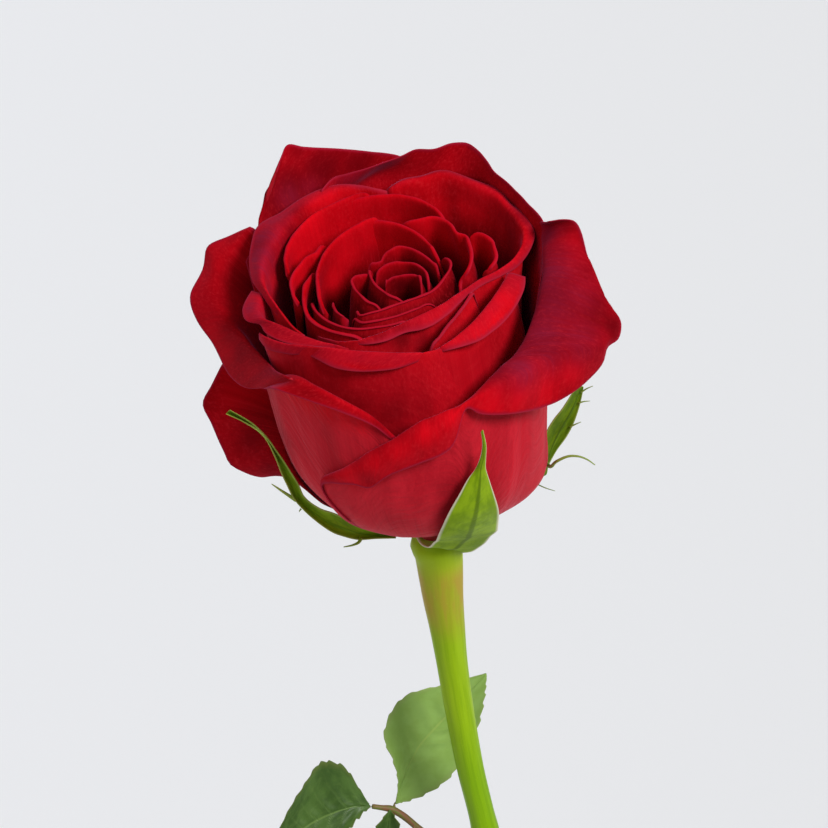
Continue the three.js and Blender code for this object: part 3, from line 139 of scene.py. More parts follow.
# ------------------------------------------------------------------ the flower's measurements
PETALS = {
    'guard_front': dict(narrow=0.6, full=16, foot=0.6, body=1.0, turn=3, rows=[
        [[-125.1,1,20.13],[-131.3,1,30.41],[-117,1.02,36.02],[-102.6,1.03,41.46],[-93.4,1.04,44.4],[-83.6,1.05,47.24],[-73.8,1.05,48.43],[-65.1,1.04,48.95],[-56.4,1.03,50.7],[-48.2,1.03,51.97],[-43.7,1.03,52.31],[-39.4,1.03,52.84],[-35.8,1.03,53.57],[-31.9,1.03,54.37],[-28.2,1.03,55.43],[-21,1.035,57],[-16,1.04,58],[-7,1.05,60],[3,1.06,62],[11,1.08,62.5],[16,1.09,62.5],[21,1.1,62.3]],
        [[-126.1,1.02,19.63],[-130,1.03,30.73],[-115.9,1.06,35.74],[-101.2,1.09,40.74],[-92.5,1.11,43.47],[-83.9,1.13,46.07],[-74.9,1.14,47.47],[-65.8,1.08,49.49],[-55.3,1.13,51.08],[-45.8,1.2,52.22],[-34.1,1.212,51.67],[-29.1,1.357,52.61],[-24.7,1.476,52.02],[-21.3,1.52,51.03],[-19.2,1.539,51.05],[-17.2,1.564,51.67],[-15.5,1.572,53.3],[-12.8,1.484,59],[-3.8,1.355,63.66],[5.5,1.234,67.14],[7.1,1.165,67.25],[9.1,1.098,66.78]],
        [[-125.3,1.02,19.44],[-129.6,1.03,30.28],[-114.4,1.05,33.28],[-105.7,1.06,33.4],[-97.2,1.09,37.02],[-85.8,1.1,39.4],[-74.2,1.1,41.43],[-66.2,1.08,48.23],[-61.5,1.13,46.86],[-50.6,1.18,44.74],[-37,1.198,41.83],[-30.3,1.291,42.18],[-23.5,1.412,43.95],[-20.2,1.497,46.52],[-18.3,1.518,48.76],[-15.9,1.585,49.79],[-14,1.605,51.64],[-13.6,1.513,57.86],[-5.5,1.378,62.97],[4.3,1.283,67.84],[5.4,1.198,68.01],[8,1.106,67.28]],
    ]),
    'guard_left': dict(narrow=0.55, full=16, foot=0.8, body=0.965, turn=4, rows=[
        [[142,1,52],[150,1,50],[157,1,48],[164,1,47],[171,1,46],[178,1,45.5],[186,1,46],[195,1.01,47.5],[204,1.02,49.5],[213,1.03,51.5],[229.6,1.03,54.93],[239.6,1.03,53.73],[248.4,1.015,51.62],[257.4,1,48.61],[266,0.98,43.28]],
        [[146.1,1.176,63.71],[153.4,1.275,61.3],[156.6,1.333,59.08],[160.9,1.353,56.64],[165.6,1.329,54.56],[172.2,1.221,52.73],[181.3,1.106,51.79],[191.5,1.032,51.41],[205.5,1.002,51.83],[225.2,1.08,55.09],[235,1.08,55.28],[242.4,1.07,54.08],[250.4,1.05,51.5],[258.4,1.02,48.33],[266,0.99,43.02]],
        [[145.8,1.212,63.84],[149.6,1.352,61.88],[152.4,1.492,59.91],[156.4,1.5,56.42],[162.4,1.549,53.26],[167.3,1.481,50.01],[171.7,1.355,46.32],[177,1.28,43.66],[189.7,1.173,43.87],[204.5,1.07,47.21],[226.5,1.16,53.44],[238.2,1.11,52.24],[248.9,1.07,50.21],[258.2,1.03,47.19],[265.8,0.985,42.25]],
    ]),
    'guard_back_left': dict(narrow=0.45, full=18, foot=1.2, body=0.93, turn=6, rows=[
        [[168,0.985,46],[160,1.03,52],[152,1.09,58],[146,1.155,61.5],[141,1.17,64],[135,1.2,66],[128,1.21,67],[118,1.19,67],[108,1.14,66],[97,1.1,65],[86,1.085,63.5]],
        [[154.3,1.176,58.96],[141.9,1.169,64.03],[136.8,1.224,65.61],[133.9,1.27,67],[129.6,1.26,69.28],[123.5,1.327,71.98],[120,1.375,72.91],[116.4,1.307,72.49],[105.9,1.202,71.48],[96.3,1.132,70.71],[89.2,1.098,70.17],[86.1,1.102,69.47],[84.2,1.147,68.07]],
    ]),
    'guard_back_right': dict(narrow=0.45, full=18, foot=1.0, body=0.9, turn=8, rows=[
        [[123,0.985,58],[111,1.02,63],[96,1.05,66],[80,1.04,66],[64,1.06,65],[48,1.06,63],[32,1.04,60],[16,1.02,57],[0,1,53],[-14,0.99,50],[-28,0.97,46]],
        [[119.9,0.969,68.07],[112.3,1.012,69.05],[107.7,0.98,69.53],[101.5,0.956,70.05],[92.8,0.965,70.69],[84.3,0.996,71.33],[79.5,1.032,71.96],[70.8,1.036,72.29],[64.9,1.123,72.49],[60.7,1.149,72.43],[54.8,1.115,71.98],[50.2,1.081,71.06],[45.1,1.04,70.1],[38.4,1.039,69.15],[25.5,1.062,66.74],[15.8,1.108,64.49],[9.1,1.069,61.84],[-8,1.01,58],[-20.3,0.995,54.37],[-34.2,0.99,51.67]],
    ]),
    'guard_low': dict(narrow=0.5, full=12, foot=0.7, body=1.0, turn=3, rows=[
        [[204,1.01,17],[196,1.015,21],[186,1.02,24],[175,1.02,26.5],[162,1.02,29]],
        [[187.1,1.043,19.57],[181.4,1.203,18.98],[175.6,1.61,17.58],[174.6,1.656,18.73],[171.9,1.628,21.11],[168,1.603,25.69],[165.9,1.619,29.07],[162.8,1.529,32.4],[158.6,1.454,35.83]],
    ]),
    'cup_left': dict(narrow=0.35, full=20, foot=2.2, body=0.825, turn=1.5, rows=[
        [[-147.9,0.764,57.46],[-154.7,0.802,58.79],[-160.8,0.826,60.15],[-167.1,0.847,61.06],[-175.1,0.886,62.12],[-181.7,0.914,63.12],[-189.1,0.922,64.2],[-199.2,0.921,64.95],[-209.2,0.916,65.64],[-219.6,0.92,66.33],[-229.5,0.927,66.9],[-238.4,0.93,67.32],[-247.8,0.917,67.6],[-256,0.887,67.14],[-262,0.857,66.58],[-267.4,0.854,65.59]],
        [[-152.3,0.762,55.69],[-159,0.815,57.52],[-167.2,0.848,58.54],[-171.7,0.884,59.85],[-179.1,0.933,60.91],[-184.6,0.986,61.88],[-193.5,1.031,63.17],[-201.5,1.062,64.4],[-213.1,1.11,65.46],[-222.4,1.053,65.95],[-232.2,1.033,66.96],[-240.8,1.021,67.33],[-249.1,0.961,67.84],[-256.3,0.894,67.69],[-262.2,0.865,66.92],[-268,0.864,65.85]],
    ]),
    'cup_right': dict(narrow=0.3, full=20, foot=3.0, body=0.805, turn=1.5, rows=[
        [[93.4,0.889,65.26],[90.9,0.853,66.6],[86,0.881,67.23],[77.1,0.925,67.35],[69.1,0.989,67.48],[59.1,0.987,67.11],[50.1,0.984,66.66],[42.6,0.987,66.23],[33.5,0.965,65.57],[24.3,0.969,64.42],[17.4,0.971,63.4],[12,0.933,62.43],[6,0.851,61.39],[-2.5,0.725,61.08],[-10.2,0.6,60.9],[-26.1,0.494,60.53],[-49.1,0.436,59.98],[-70.3,0.433,59.6],[-88.9,0.477,59.27],[-104.3,0.565,58.75],[-117.2,0.645,58.34],[-128.3,0.678,57.84],[-138.6,0.67,57.06],[-150.1,0.661,55.99]],
        [[93.6,0.903,65.03],[91.3,0.887,66.26],[86.1,0.923,66.94],[77.6,0.971,67.09],[69.3,1.044,67.25],[59.3,1.037,66.83],[50.2,1.032,66.35],[44.5,1.065,65.63],[35.5,1.035,64.42],[26.6,1.055,63.3],[17.5,1.043,62.02],[12.5,0.984,61.01],[5.4,0.874,59.85],[-3.1,0.743,60.03],[-11.5,0.614,60.01],[-27.1,0.518,59.44],[-49.1,0.508,58.72],[-69.2,0.524,58.21],[-86.3,0.518,58.08],[-101.1,0.597,57.77],[-114.4,0.64,57.59],[-128,0.675,57.44],[-138.5,0.668,56.76],[-150,0.66,55.79]],
    ]),
    'cup_front_left': dict(narrow=0.35, full=20, foot=2.4, body=0.86, turn=1.5, rows=[
        [[-178.6,0.929,60.37],[-172.6,0.953,60.39],[-166.6,0.967,60.41],[-161.2,0.962,60.29],[-157,0.916,60.05],[-151.4,0.868,59.76],[-143.9,0.82,59.12],[-134.2,0.777,58.65],[-125.3,0.73,58.15],[-120.7,0.661,56.56],[-119.8,0.549,54.04]],
        [[-183.8,1.003,60.11],[-176.9,1.047,59.72],[-171.7,1.069,59.46],[-165.8,1.058,59.24],[-162.4,0.988,59.04],[-157.1,0.981,58.63],[-148.7,0.93,58.13],[-137.8,0.843,57.92],[-125.7,0.74,57.52],[-121,0.66,55.96],[-120.1,0.548,53.55]],
    ]),
    'cup_front': dict(narrow=0.4, full=20, foot=1.8, body=0.895, turn=3, rows=[
        [[-160.8,1.005,57.48],[-155.2,0.997,58.06],[-146.1,0.951,58.52],[-137.4,0.893,58.86],[-130.3,0.847,59.04],[-123.7,0.816,59.08],[-115.5,0.797,58.98],[-101.3,0.783,58.74],[-90.2,0.8,58.6],[-82.5,0.816,58.45],[-75.9,0.826,58.19],[-70.1,0.8,57.61],[-62.7,0.759,56.77],[-53.4,0.732,56.58],[-43.1,0.733,56.89],[-30.4,0.738,57.61],[-16.8,0.774,58.35],[-5.9,0.806,58.53]],
        [[-161.4,1.01,56.1],[-155.5,1.007,56.04],[-147.8,0.972,56.36],[-141.7,0.931,56.67],[-135.5,0.878,57.08],[-128.7,0.87,56.77],[-120.5,0.881,56.38],[-110.7,0.881,56.17],[-99.9,0.859,56.06],[-90.8,0.85,56.24],[-81.3,0.831,56.68],[-72,0.805,56.94],[-62.6,0.749,56],[-53.3,0.725,55.8],[-43.2,0.729,56.09],[-30.8,0.737,56.79],[-17.1,0.772,57.52],[-5.8,0.803,57.83]],
    ]),
    'cup_front_right': dict(narrow=0.35, full=20, foot=2.2, body=0.865, turn=1.5, rows=[
        [[-71.5,0.715,56.14],[-67.7,0.787,57.73],[-61.7,0.796,58.37],[-55.1,0.783,58.85],[-47.1,0.772,59.42],[-37,0.756,59.95],[-25.9,0.752,60.46],[-17.5,0.763,60.64],[-11,0.776,60.73],[-4.7,0.783,60.53]],
        [[-70.1,0.755,56.19],[-65.9,0.815,57.15],[-61,0.844,57.39],[-55.9,0.867,57.49],[-50.3,0.894,57.64],[-42.6,0.901,57.92],[-34.2,0.914,58.39],[-22.8,0.917,59.15],[-13.9,0.919,59.71],[-6.3,0.908,59.99]],
    ]),
    'cup_fold_right': dict(narrow=0.35, full=20, foot=2.8, body=0.835, turn=1.5, rows=[
        [[-76.7,0.665,49.9],[-73,0.665,54.4],[-69.3,0.665,56.9],[-64.2,0.636,57.33],[-56.6,0.592,58.01],[-46.7,0.575,58.87],[-37.9,0.57,59.71],[-28.5,0.561,60.1],[-23,0.559,60.04],[-18.6,0.559,57.04],[-14.2,0.559,52.04]],
    ]),
    'inner_back_left': dict(narrow=0.3, full=20, foot=3.6, body=0.775, turn=1.5, rows=[
        [[148.5,0.814,46.06],[151,0.814,51.06],[154.5,0.814,54.06],[163.6,0.777,58.97],[166,0.778,61.36],[164.9,0.786,62.94],[157.4,0.815,63.97],[148.5,0.842,64.59],[140.8,0.853,65.07],[133.1,0.864,65.52],[126.3,0.865,65.84],[119.7,0.86,66.08],[114.4,0.86,66.26],[109.1,0.866,66.43],[105.2,0.865,66.51],[102.2,0.843,66.46],[100.5,0.843,65.26],[95.9,0.843,59.46]],
    ]),
    'inner_back': dict(narrow=0.3, full=20, foot=3.6, body=0.8, turn=1.5, rows=[
        [[121.5,0.883,61.66],[110.3,0.863,65.36],[101.6,0.823,66.16],[97.3,0.805,66.32],[91.8,0.793,66.29],[85.1,0.777,66.2],[79.7,0.756,66.04],[74.4,0.731,65.84],[68.3,0.693,65.55],[62,0.658,65.23],[57.3,0.639,64.01],[57.4,0.694,61.23],[52.9,0.694,57.23],[48.5,0.694,52.23]],
    ]),
    'inner_left': dict(narrow=0.35, full=20, foot=3.6, body=0.745, turn=1.5, rows=[
        [[126.3,0.681,54.11],[132.3,0.681,59.61],[138.3,0.681,62.11],[150,0.649,62.99],[157.4,0.677,63.18],[163.8,0.694,62.87],[170.5,0.717,62.51],[177.7,0.728,62.09],[184,0.722,61.7],[190,0.712,61.14],[190.6,0.694,59.8],[182.9,0.683,57.22],[178.4,0.683,53.22],[173.9,0.683,48.22]],
    ]),
    'inner_left_lip': dict(narrow=0.35, full=20, foot=4.0, body=0.715, turn=1.5, rows=[
        [[148.2,0.624,51.99],[153.5,0.624,57.49],[158.7,0.624,59.99],[171.5,0.62,61.35],[179.8,0.639,61.43],[187.6,0.652,61],[197.1,0.668,60.47],[203.3,0.673,59.63],[211.3,0.661,59.05],[219.5,0.628,58.47],[231.1,0.597,58.35],[239.1,0.574,58.01],[249.8,0.584,56.51],[260.5,0.594,52.01]],
    ]),
    'inner_mid_left': dict(narrow=0.3, full=20, foot=4.4, body=0.64, turn=1.5, rows=[
        [[-155.3,0.508,46.8],[-161.3,0.508,52.8],[-167.4,0.508,55.8],[-161.6,0.542,58.55],[-163.5,0.556,60.63],[-172.8,0.549,61.57],[-191.4,0.562,62.44],[-201.6,0.569,62.91],[-213.9,0.581,63.47],[-226,0.592,63.96],[-235.7,0.602,64.31],[-246.1,0.607,64.59],[-252.8,0.617,64.76],[-257.3,0.621,64.64],[-259.9,0.621,63.04],[-265.9,0.621,57.64]],
    ]),
    'inner_mid_back': dict(narrow=0.3, full=20, foot=4.6, body=0.68, turn=1.5, rows=[
        [[123.9,0.675,59.75],[111.9,0.65,63.45],[101.7,0.6,64.25],[96.8,0.561,64.49],[91.9,0.537,64.49],[84.3,0.496,64.27],[76,0.454,64],[66.8,0.411,63.69],[54.1,0.364,63.28],[42.6,0.337,62.75],[40,0.346,61.42],[31.2,0.346,58.42],[21.1,0.346,52.42]],
    ]),
    'inner_right_back': dict(narrow=0.3, full=20, foot=4.2, body=0.72, turn=1.5, rows=[
        [[98.2,0.561,55.1],[91.6,0.561,60.6],[85.8,0.561,63.1],[80,0.544,64.28],[71.8,0.559,64.77],[64.3,0.597,64.81],[56.7,0.605,64.65],[49.2,0.59,64.36],[39.8,0.564,63.64],[35.5,0.594,63.27],[28,0.574,62.7],[16.8,0.542,62.16],[7.8,0.512,61.72],[1,0.474,60.91],[1.7,0.432,59.41],[-5.4,0.422,56.41],[-12.5,0.412,51.41]],
    ]),
    'inner_right': dict(narrow=0.4, full=20, foot=4.0, body=0.75, turn=1.5, rows=[
        [[44.5,0.634,52.73],[40.6,0.634,57.73],[36.8,0.634,60.73],[33.7,0.625,62.39],[32.5,0.655,63.12],[29.3,0.684,63.35],[25.3,0.707,63.2],[21.8,0.725,62.74],[15.4,0.716,62.36],[10.2,0.711,61.54],[6.5,0.687,61.1],[4.7,0.645,60.36],[7.3,0.605,58.75],[3.2,0.605,55.75],[-0.8,0.605,50.75]],
    ]),
    'heart_back': dict(narrow=0.35, full=20, foot=5.5, body=0.54, turn=1.5, rows=[
        [[145.5,0.312,53.41],[138.9,0.312,57.71],[133.7,0.312,59.91],[133.4,0.293,61.36],[127.9,0.266,61.64],[121.2,0.247,61.85],[112.2,0.275,62.36],[101.5,0.295,62.73],[89.9,0.32,62.89],[75.9,0.304,62.76],[61.2,0.282,62.53],[45.3,0.267,62.25],[31.4,0.268,61.8],[20.7,0.281,60.81],[21.5,0.287,59.32],[15.8,0.287,57.12],[8.7,0.287,52.82]],
    ]),
    'heart_front': dict(narrow=0.35, full=20, foot=5.0, body=0.57, turn=1.5, rows=[
        [[-161.6,0.354,51.45],[-154.7,0.354,55.75],[-148.9,0.354,57.95],[-135.9,0.376,58.58],[-127.5,0.335,59.05],[-118.2,0.28,59.13],[-103.3,0.216,59.29],[-81.3,0.185,59.42],[-55.2,0.19,59.55],[-39.6,0.213,59.65],[-26.1,0.244,59.8],[-9.9,0.28,60.09],[-0.5,0.319,60.83],[7.6,0.358,61.38],[16.1,0.379,61.66],[24.5,0.378,61.71],[31.3,0.368,61.27],[36.9,0.368,59.67],[44.7,0.368,55.27]],
    ]),
    'heart_front_mid': dict(narrow=0.35, full=20, foot=4.6, body=0.605, turn=1.5, rows=[
        [[-154.8,0.403,50.68],[-148.7,0.403,54.98],[-143.7,0.403,57.18],[-126.5,0.427,58.4],[-116.5,0.393,58.65],[-105.9,0.353,58.7],[-95.1,0.325,58.77],[-81.2,0.3,58.9],[-65.3,0.293,59.04],[-52,0.302,59.18],[-41.2,0.302,57.98],[-27.7,0.302,54.18]],
    ]),
    'heart_front_low': dict(narrow=0.35, full=20, foot=4.3, body=0.67, turn=1.5, rows=[
        [[-180.8,0.605,52.05],[-176.7,0.605,56.35],[-173.3,0.605,58.55],[-164.2,0.607,59.3],[-157.4,0.601,59.28],[-148.8,0.585,58.93],[-140.2,0.563,58.65],[-131.9,0.536,58.45],[-122.7,0.5,58.34],[-112,0.451,58.34],[-101.1,0.418,58.38],[-93.8,0.399,58.43],[-87.8,0.387,58.48],[-77.3,0.387,57.28],[-65.6,0.387,53.48]],
    ]),
    'heart_left': dict(narrow=0.35, full=20, foot=5.5, body=0.54, turn=1.5, rows=[
        [[130.3,0.264,54.15],[141.1,0.264,59.25],[150.4,0.264,60.65],[157,0.292,60.88],[162.4,0.316,61.1],[170.2,0.333,61.12],[181.1,0.318,60.61],[197.6,0.29,60.21],[213.3,0.272,59.6],[227.1,0.243,58.95],[237.2,0.243,57.55],[249,0.243,52.95]],
    ]),
    'heart_left_inner': dict(narrow=0.35, full=20, foot=6, body=0.51, turn=1.5, rows=[
        [[127,0.264,54.12],[134.8,0.264,58.42],[141,0.264,60.62],[158.2,0.216,60.7],[177.5,0.172,60.34],[202.6,0.137,60.04],[232.4,0.131,59.79],[263.9,0.128,58.97],[281.1,0.128,57.57],[301.1,0.128,52.97]],
    ]),
    'heart_mid': dict(narrow=0.35, full=20, foot=6.2, body=0.48, turn=1.5, rows=[
        [[154.5,0.217,54.01],[145,0.217,58.31],[137.5,0.217,60.51],[130.9,0.214,61.09],[122.5,0.207,61.45],[105.9,0.2,61.64],[87.6,0.189,61.62],[65.8,0.19,61.54],[41.5,0.19,61.32],[18,0.193,60.8],[4.7,0.191,59.88],[-3.8,0.191,57.68],[-14.6,0.191,53.38]],
    ]),
    'heart_tip': dict(narrow=0.35, full=20, foot=6.6, body=0.44, turn=1.5, rows=[
        [[187.9,0.116,52.91],[176.5,0.116,56.71],[166.4,0.116,58.91],[168.1,0.11,59.89],[148.9,0.1,60.33],[126,0.085,60.61],[93.7,0.079,60.66],[55.1,0.097,60.67],[28.2,0.123,60.57],[0.9,0.138,60.1],[-4.3,0.138,58.73],[-14.3,0.138,56.53],[-25.7,0.138,52.73]],
    ]),
    'heart_scrap': dict(narrow=0.3, full=20, foot=5.0, body=0.585, turn=1.5, rows=[
        [[-179,0.471,57.3],[-161.8,0.475,58.64],[-152.5,0.482,58.89],[-146.9,0.471,58.62],[-146.8,0.435,57.4]],
    ]),
}
SEPALS = {
    'sepal_left': [[[-7.47,-4.3,2.92],[-11.57,-5.8,4.45],[-14.65,-7.3,5.75],[-17.58,-8.8,8.13],[-19.63,-9.8,10.25],[-22.44,-10.3,13.94],[-24.45,-10.3,16.97],[-25.76,-10.3,19.49],[-26.78,-10.3,23.27],[-27.5,-10.3,26.59],[-28.03,-10.3,29.87],[-28.62,-10.3,32.65],[-29.94,-10.8,37.09],[-33,-11.3,40.38],[-35.96,-11.8,42.91]],[[-7.53,-2.9,2.5],[-11.58,-4.4,4.47],[-14.47,-5.9,6.5],[-17.15,-7.4,9.24],[-19.33,-8.4,11.52],[-21.83,-8.9,14.2],[-23.73,-8.9,16.58],[-24.97,-8.9,18.73],[-25.86,-8.9,22.24],[-26.79,-8.9,25.59],[-27.55,-8.9,28.66],[-28.29,-8.9,31.16],[-29.66,-9.4,35.32],[-32.36,-9.9,39.12],[-35.71,-10.4,42.37]],[[-7.31,-4.3,4.19],[-11.29,-5.8,6.6],[-13.98,-7.3,9.35],[-16.39,-8.8,12.44],[-18.68,-9.8,14.87],[-20.87,-10.3,16.53],[-22.65,-10.3,18.26],[-23.81,-10.3,20.03],[-24.57,-10.3,23.25],[-25.69,-10.3,26.62],[-26.68,-10.3,29.46],[-27.57,-10.3,31.67],[-28.98,-10.8,35.51],[-31.3,-11.3,39.81],[-35.04,-11.8,43.77]]],
    'sepal_front': [[[-3.72,-1.93,1.68],[-2.85,-4.33,1.22],[-1.22,-7.3,2.07],[0.67,-11.25,6.13],[3.66,-26.16,20.36],[5.84,-28.04,25.71],[8.51,-28.27,30.3],[10.61,-27.77,33.42],[11.94,-27.25,34.79],[13.2,-27.5,37.46],[14.02,-27.74,40.63],[14.14,-28.36,44.38]],[[1.03,-3,-0.64],[2.52,-5.5,0.26],[4.44,-8.5,2.42],[6.55,-12.5,7.04],[9.43,-25.02,19.69],[10.77,-27.08,24.76],[11.84,-27.8,29.35],[12.58,-27.84,32.98],[13.02,-27.66,35.09],[13.75,-27.6,37.46],[14.37,-27.8,40.63],[14.37,-28.4,44.63]],[[5.21,-1.29,-4.84],[7.26,-3.63,-2.89],[9.43,-6.57,0.42],[11.75,-10.5,5.48],[14.35,-17.19,13.95],[15.14,-22.92,21.44],[14.81,-25.42,27.03],[14.3,-26.36,31.44],[13.96,-27.07,34.65],[14.24,-27.42,37.28],[14.69,-27.69,40.51],[14.57,-28.34,44.78]]],
    'sepal_right': [[[4.9,0.8,-0.6],[9.1,2.8,2.4],[14.5,4.6,6],[20.1,4.8,9.2],[23.25,2.8,10.21],[23.85,2.8,13.18],[24.3,2.8,16.66],[25.3,2.8,20.55],[27.11,2.8,23.57],[28.95,2.8,25.82],[30.35,2.8,27.87],[31.52,2.8,29.58],[33.06,2.8,30.99]],[[5.4,2.6,-0.6],[9.6,5,2.4],[15,7,6],[20.6,7,9.2],[23.52,4.5,8.79],[24.24,4.5,11.38],[25.46,4.5,14.9],[27.13,4.5,18.47],[28.83,4.5,21.39],[30.35,4.5,23.95],[31.47,4.5,26.17],[32.34,4.5,27.97],[33.35,4.5,29.64]],[[4.9,4.4,-0.6],[9.1,7.2,2.4],[14.5,9.4,6],[20.1,9.2,9.2],[23.86,4.6,8.55],[24.69,4.6,10.74],[26.67,4.6,14.3],[29.03,4.6,17.54],[30.62,4.6,20.35],[31.8,4.6,23.2],[32.63,4.6,25.58],[33.21,4.6,27.49],[33.69,4.6,29.4]]],
    'sepal_back_left': [[[-6.97,5.07,2.92],[-10,8.21,4.45],[-12.63,10.42,5.75],[-15.19,12.48,8.13],[-16.94,13.95,10.25],[-18.54,16.31,13.94],[-19.35,18.14,16.97],[-19.89,19.35,19.49],[-20.3,20.27,23.27],[-20.6,20.93,26.59],[-20.81,21.41,29.87],[-21.05,21.96,32.65],[-22.04,22.96,37.09],[-23.75,25.55,40.38],[-25.41,28.05,42.91]],[[-5.71,5.7,2.5],[-8.73,8.79,4.47],[-11.28,10.82,6.5],[-13.74,12.66,9.24],[-15.53,14.24,11.52],[-17.01,16.32,14.2],[-17.78,18.06,16.58],[-18.29,19.19,18.73],[-18.65,20,22.24],[-19.03,20.85,25.59],[-19.33,21.55,28.66],[-19.64,22.22,31.16],[-20.65,23.27,35.32],[-22.2,25.53,39.12],[-24.03,28.4,42.37]],[[-6.9,4.93,4.19],[-9.89,7.96,6.6],[-12.35,9.8,9.35],[-14.71,11.4,12.44],[-16.55,13.08,14.87],[-17.9,14.88,16.53],[-18.62,16.5,18.26],[-19.1,17.56,20.03],[-19.4,18.25,23.25],[-19.86,19.28,26.62],[-20.26,20.19,29.46],[-20.62,20.99,31.67],[-21.65,22.08,35.51],[-23.06,24,39.81],[-25.03,27.21,43.77]]],
    'sepal_back_right': [[[2.38,8.28,2.75],[4.29,12.21,4.18],[5.47,15.43,5.4],[6.53,18.54,7.64],[7.32,20.69,9.63],[8.99,23,13.11],[10.43,24.39,15.95],[11.38,25.31,18.32],[12.11,26.01,21.87],[12.63,26.51,25],[13.01,26.88,28.08],[13.43,27.29,30.7],[14.03,28.57,34.87],[15.89,31.05,37.96],[17.67,33.47,40.34]],[[3.4,7.31,2.35],[5.27,11.21,4.2],[6.31,14.3,6.11],[7.2,17.24,8.69],[8.07,19.47,10.83],[9.52,21.57,13.34],[10.89,22.89,15.58],[11.78,23.75,17.61],[12.42,24.36,20.9],[13.09,25.01,24.06],[13.63,25.54,26.94],[14.16,26.05,29.29],[14.8,27.36,33.2],[16.4,29.6,36.77],[18.47,32.29,39.83]],[[2.27,8.17,3.94],[4.09,12.02,6.2],[4.98,14.96,8.79],[5.68,17.72,11.7],[6.63,20.03,13.98],[7.86,21.91,15.54],[9.14,23.14,17.16],[9.97,23.95,18.83],[10.52,24.47,21.85],[11.33,25.26,25.02],[12.04,25.95,27.69],[12.67,26.56,29.77],[13.34,27.9,33.38],[14.67,29.87,37.42],[17.01,32.83,41.14]]],
}
PRONGS = {
    'sepal_left': [[[-25.63,-9.5,18.77],[-27,-9.8,20.42],[-28.54,-10,22.26],[-29.78,-10.2,23.81]],[[-14.26,-6.8,5.67],[-14.73,-7.4,5.17],[-15.97,-8,5.01],[-17.86,-8.4,5.04]]],
    'sepal_right': [[[24.4,4.4,11.7],[25,1.6,12.9],[25.7,-1.2,14.9],[26.93,-3,17.3],[29.71,-3.4,18.52],[31.54,-3.6,18.29],[33.14,-3.8,17.4],[34.42,-4,16.14]]],
}
LEAFLETS = {
    'leaflet_upper': [[[-28.17,-4.2,222.27],[-27.74,-4.6,226.72],[-27.69,-5,229.97],[-28.72,-5.4,234.75],[-30.41,-5.2,239.51],[-29.41,-4.6,244.89],[-26.05,-3.6,249.35],[-18.46,-1.6,250.78],[-8.69,0.1,252.78]],[[-28.06,-4,221.88],[-27.07,-3.2,226.06],[-25.97,-2.6,229.32],[-24.32,-2,232.83],[-22.57,-1.4,235.81],[-20.16,-1,238.78],[-17.12,-0.6,242.25],[-13.43,-0.2,246.61],[-8.47,0.2,252.65]],[[-27.73,-4,222.14],[-25.64,-3.6,222.4],[-22.34,-3.4,223.71],[-17.95,-3.2,226.71],[-14.89,-2.8,230.23],[-12.29,-2.2,235.28],[-10.28,-1.4,240.19],[-8.95,-0.6,246.6],[-8.34,0.2,252.22]]],
    'leaflet_tip': [[[-33.97,-6,223.07],[-36.58,-5.6,227.89],[-39.17,-5.4,232.17],[-42.41,-6,234.11],[-45,-7,233.98],[-47.82,-9,230.37],[-50.66,-11,225.99],[-54.16,-13.6,219.93],[-58.36,-16,212.14]],[[-33.76,-6,222.68],[-36.37,-7,223.34],[-39.2,-8,223.22],[-42.25,-9,222.58],[-45.52,-10,221.42],[-48.78,-11.4,219.75],[-51.82,-13,217.69],[-54.87,-14.6,215.11],[-58.16,-16,211.61]],[[-33.54,-6,222.42],[-35.27,-8,222.18],[-37.22,-10,221.16],[-39.16,-12,219.37],[-41.34,-13.6,216.79],[-44.18,-14.8,214.46],[-47.67,-15.6,212.91],[-52.04,-16,211.87],[-57.93,-16.2,211.49]]],
    'leaflet_lower': [[[-29.59,-6,221.5],[-31.56,-8,219.82],[-33.75,-9.6,216.7],[-35.73,-11,212.91],[-36.84,-12.4,208.59],[-36.86,-13.6,203.59],[-35.78,-14.6,198.96],[-33.81,-15.2,194.56],[-31.54,-15.4,190.4]],[[-29.37,-6,221.63],[-29.82,-6.6,218.36],[-30.04,-7.4,214.68],[-30.27,-8.4,210.6],[-30.5,-9.6,206.12],[-30.73,-11,201.76],[-30.96,-12.4,197.4],[-31.18,-13.8,193.56],[-31.41,-15,190.11]],[[-29.15,-6,221.5],[-28.05,-7.6,220.08],[-26.3,-9,216.29],[-24.76,-10.4,212.5],[-23.88,-11.8,208.18],[-24.32,-13,203.17],[-25.86,-14,198.53],[-28.3,-14.8,194.27],[-31.23,-15.2,190.25]]],
}
STEM_TOP = [[-19.06, -21.37, 295.18, 4.95], [-18.73, -20.9, 291.61, 4.75], [-18.08, -19.89, 283.88, 4.25], [-17.2, -18.9, 276.31, 3.75], [-16.32, -17.86, 268.39, 3.35], [-14.98, -16.45, 257.67, 3.12], [-13.41, -15.03, 246.77, 3.0], [-11.82, -13.76, 237.07, 2.9], [-9.76, -12.39, 226.66, 2.82], [-8.6, -11.61, 220.67, 2.78]]
HAIRS = {
    'sepal_right': [[[32.99, 4.2, 28.39], [34.36, 4.0, 29.37], [35.62, 3.8, 29.97]], [[32.36, 4.2, 25.9], [33.47, 4.0, 26.27], [34.69, 3.8, 26.39]], [[30.08, 4.2, 20.21], [31.36, 4.0, 20.94], [32.41, 3.8, 21.46]], [[18.9, 6.6, 7.9], [21.2, 4.2, 7.5], [23.62, 2.2, 7.11], [25.62, 1.2, 6.78]]],
    'sepal_left': [[[-24.94, -9.6, 16.5], [-25.2, -9.65, 16.2], [-25.43, -9.7, 15.87]]],
}
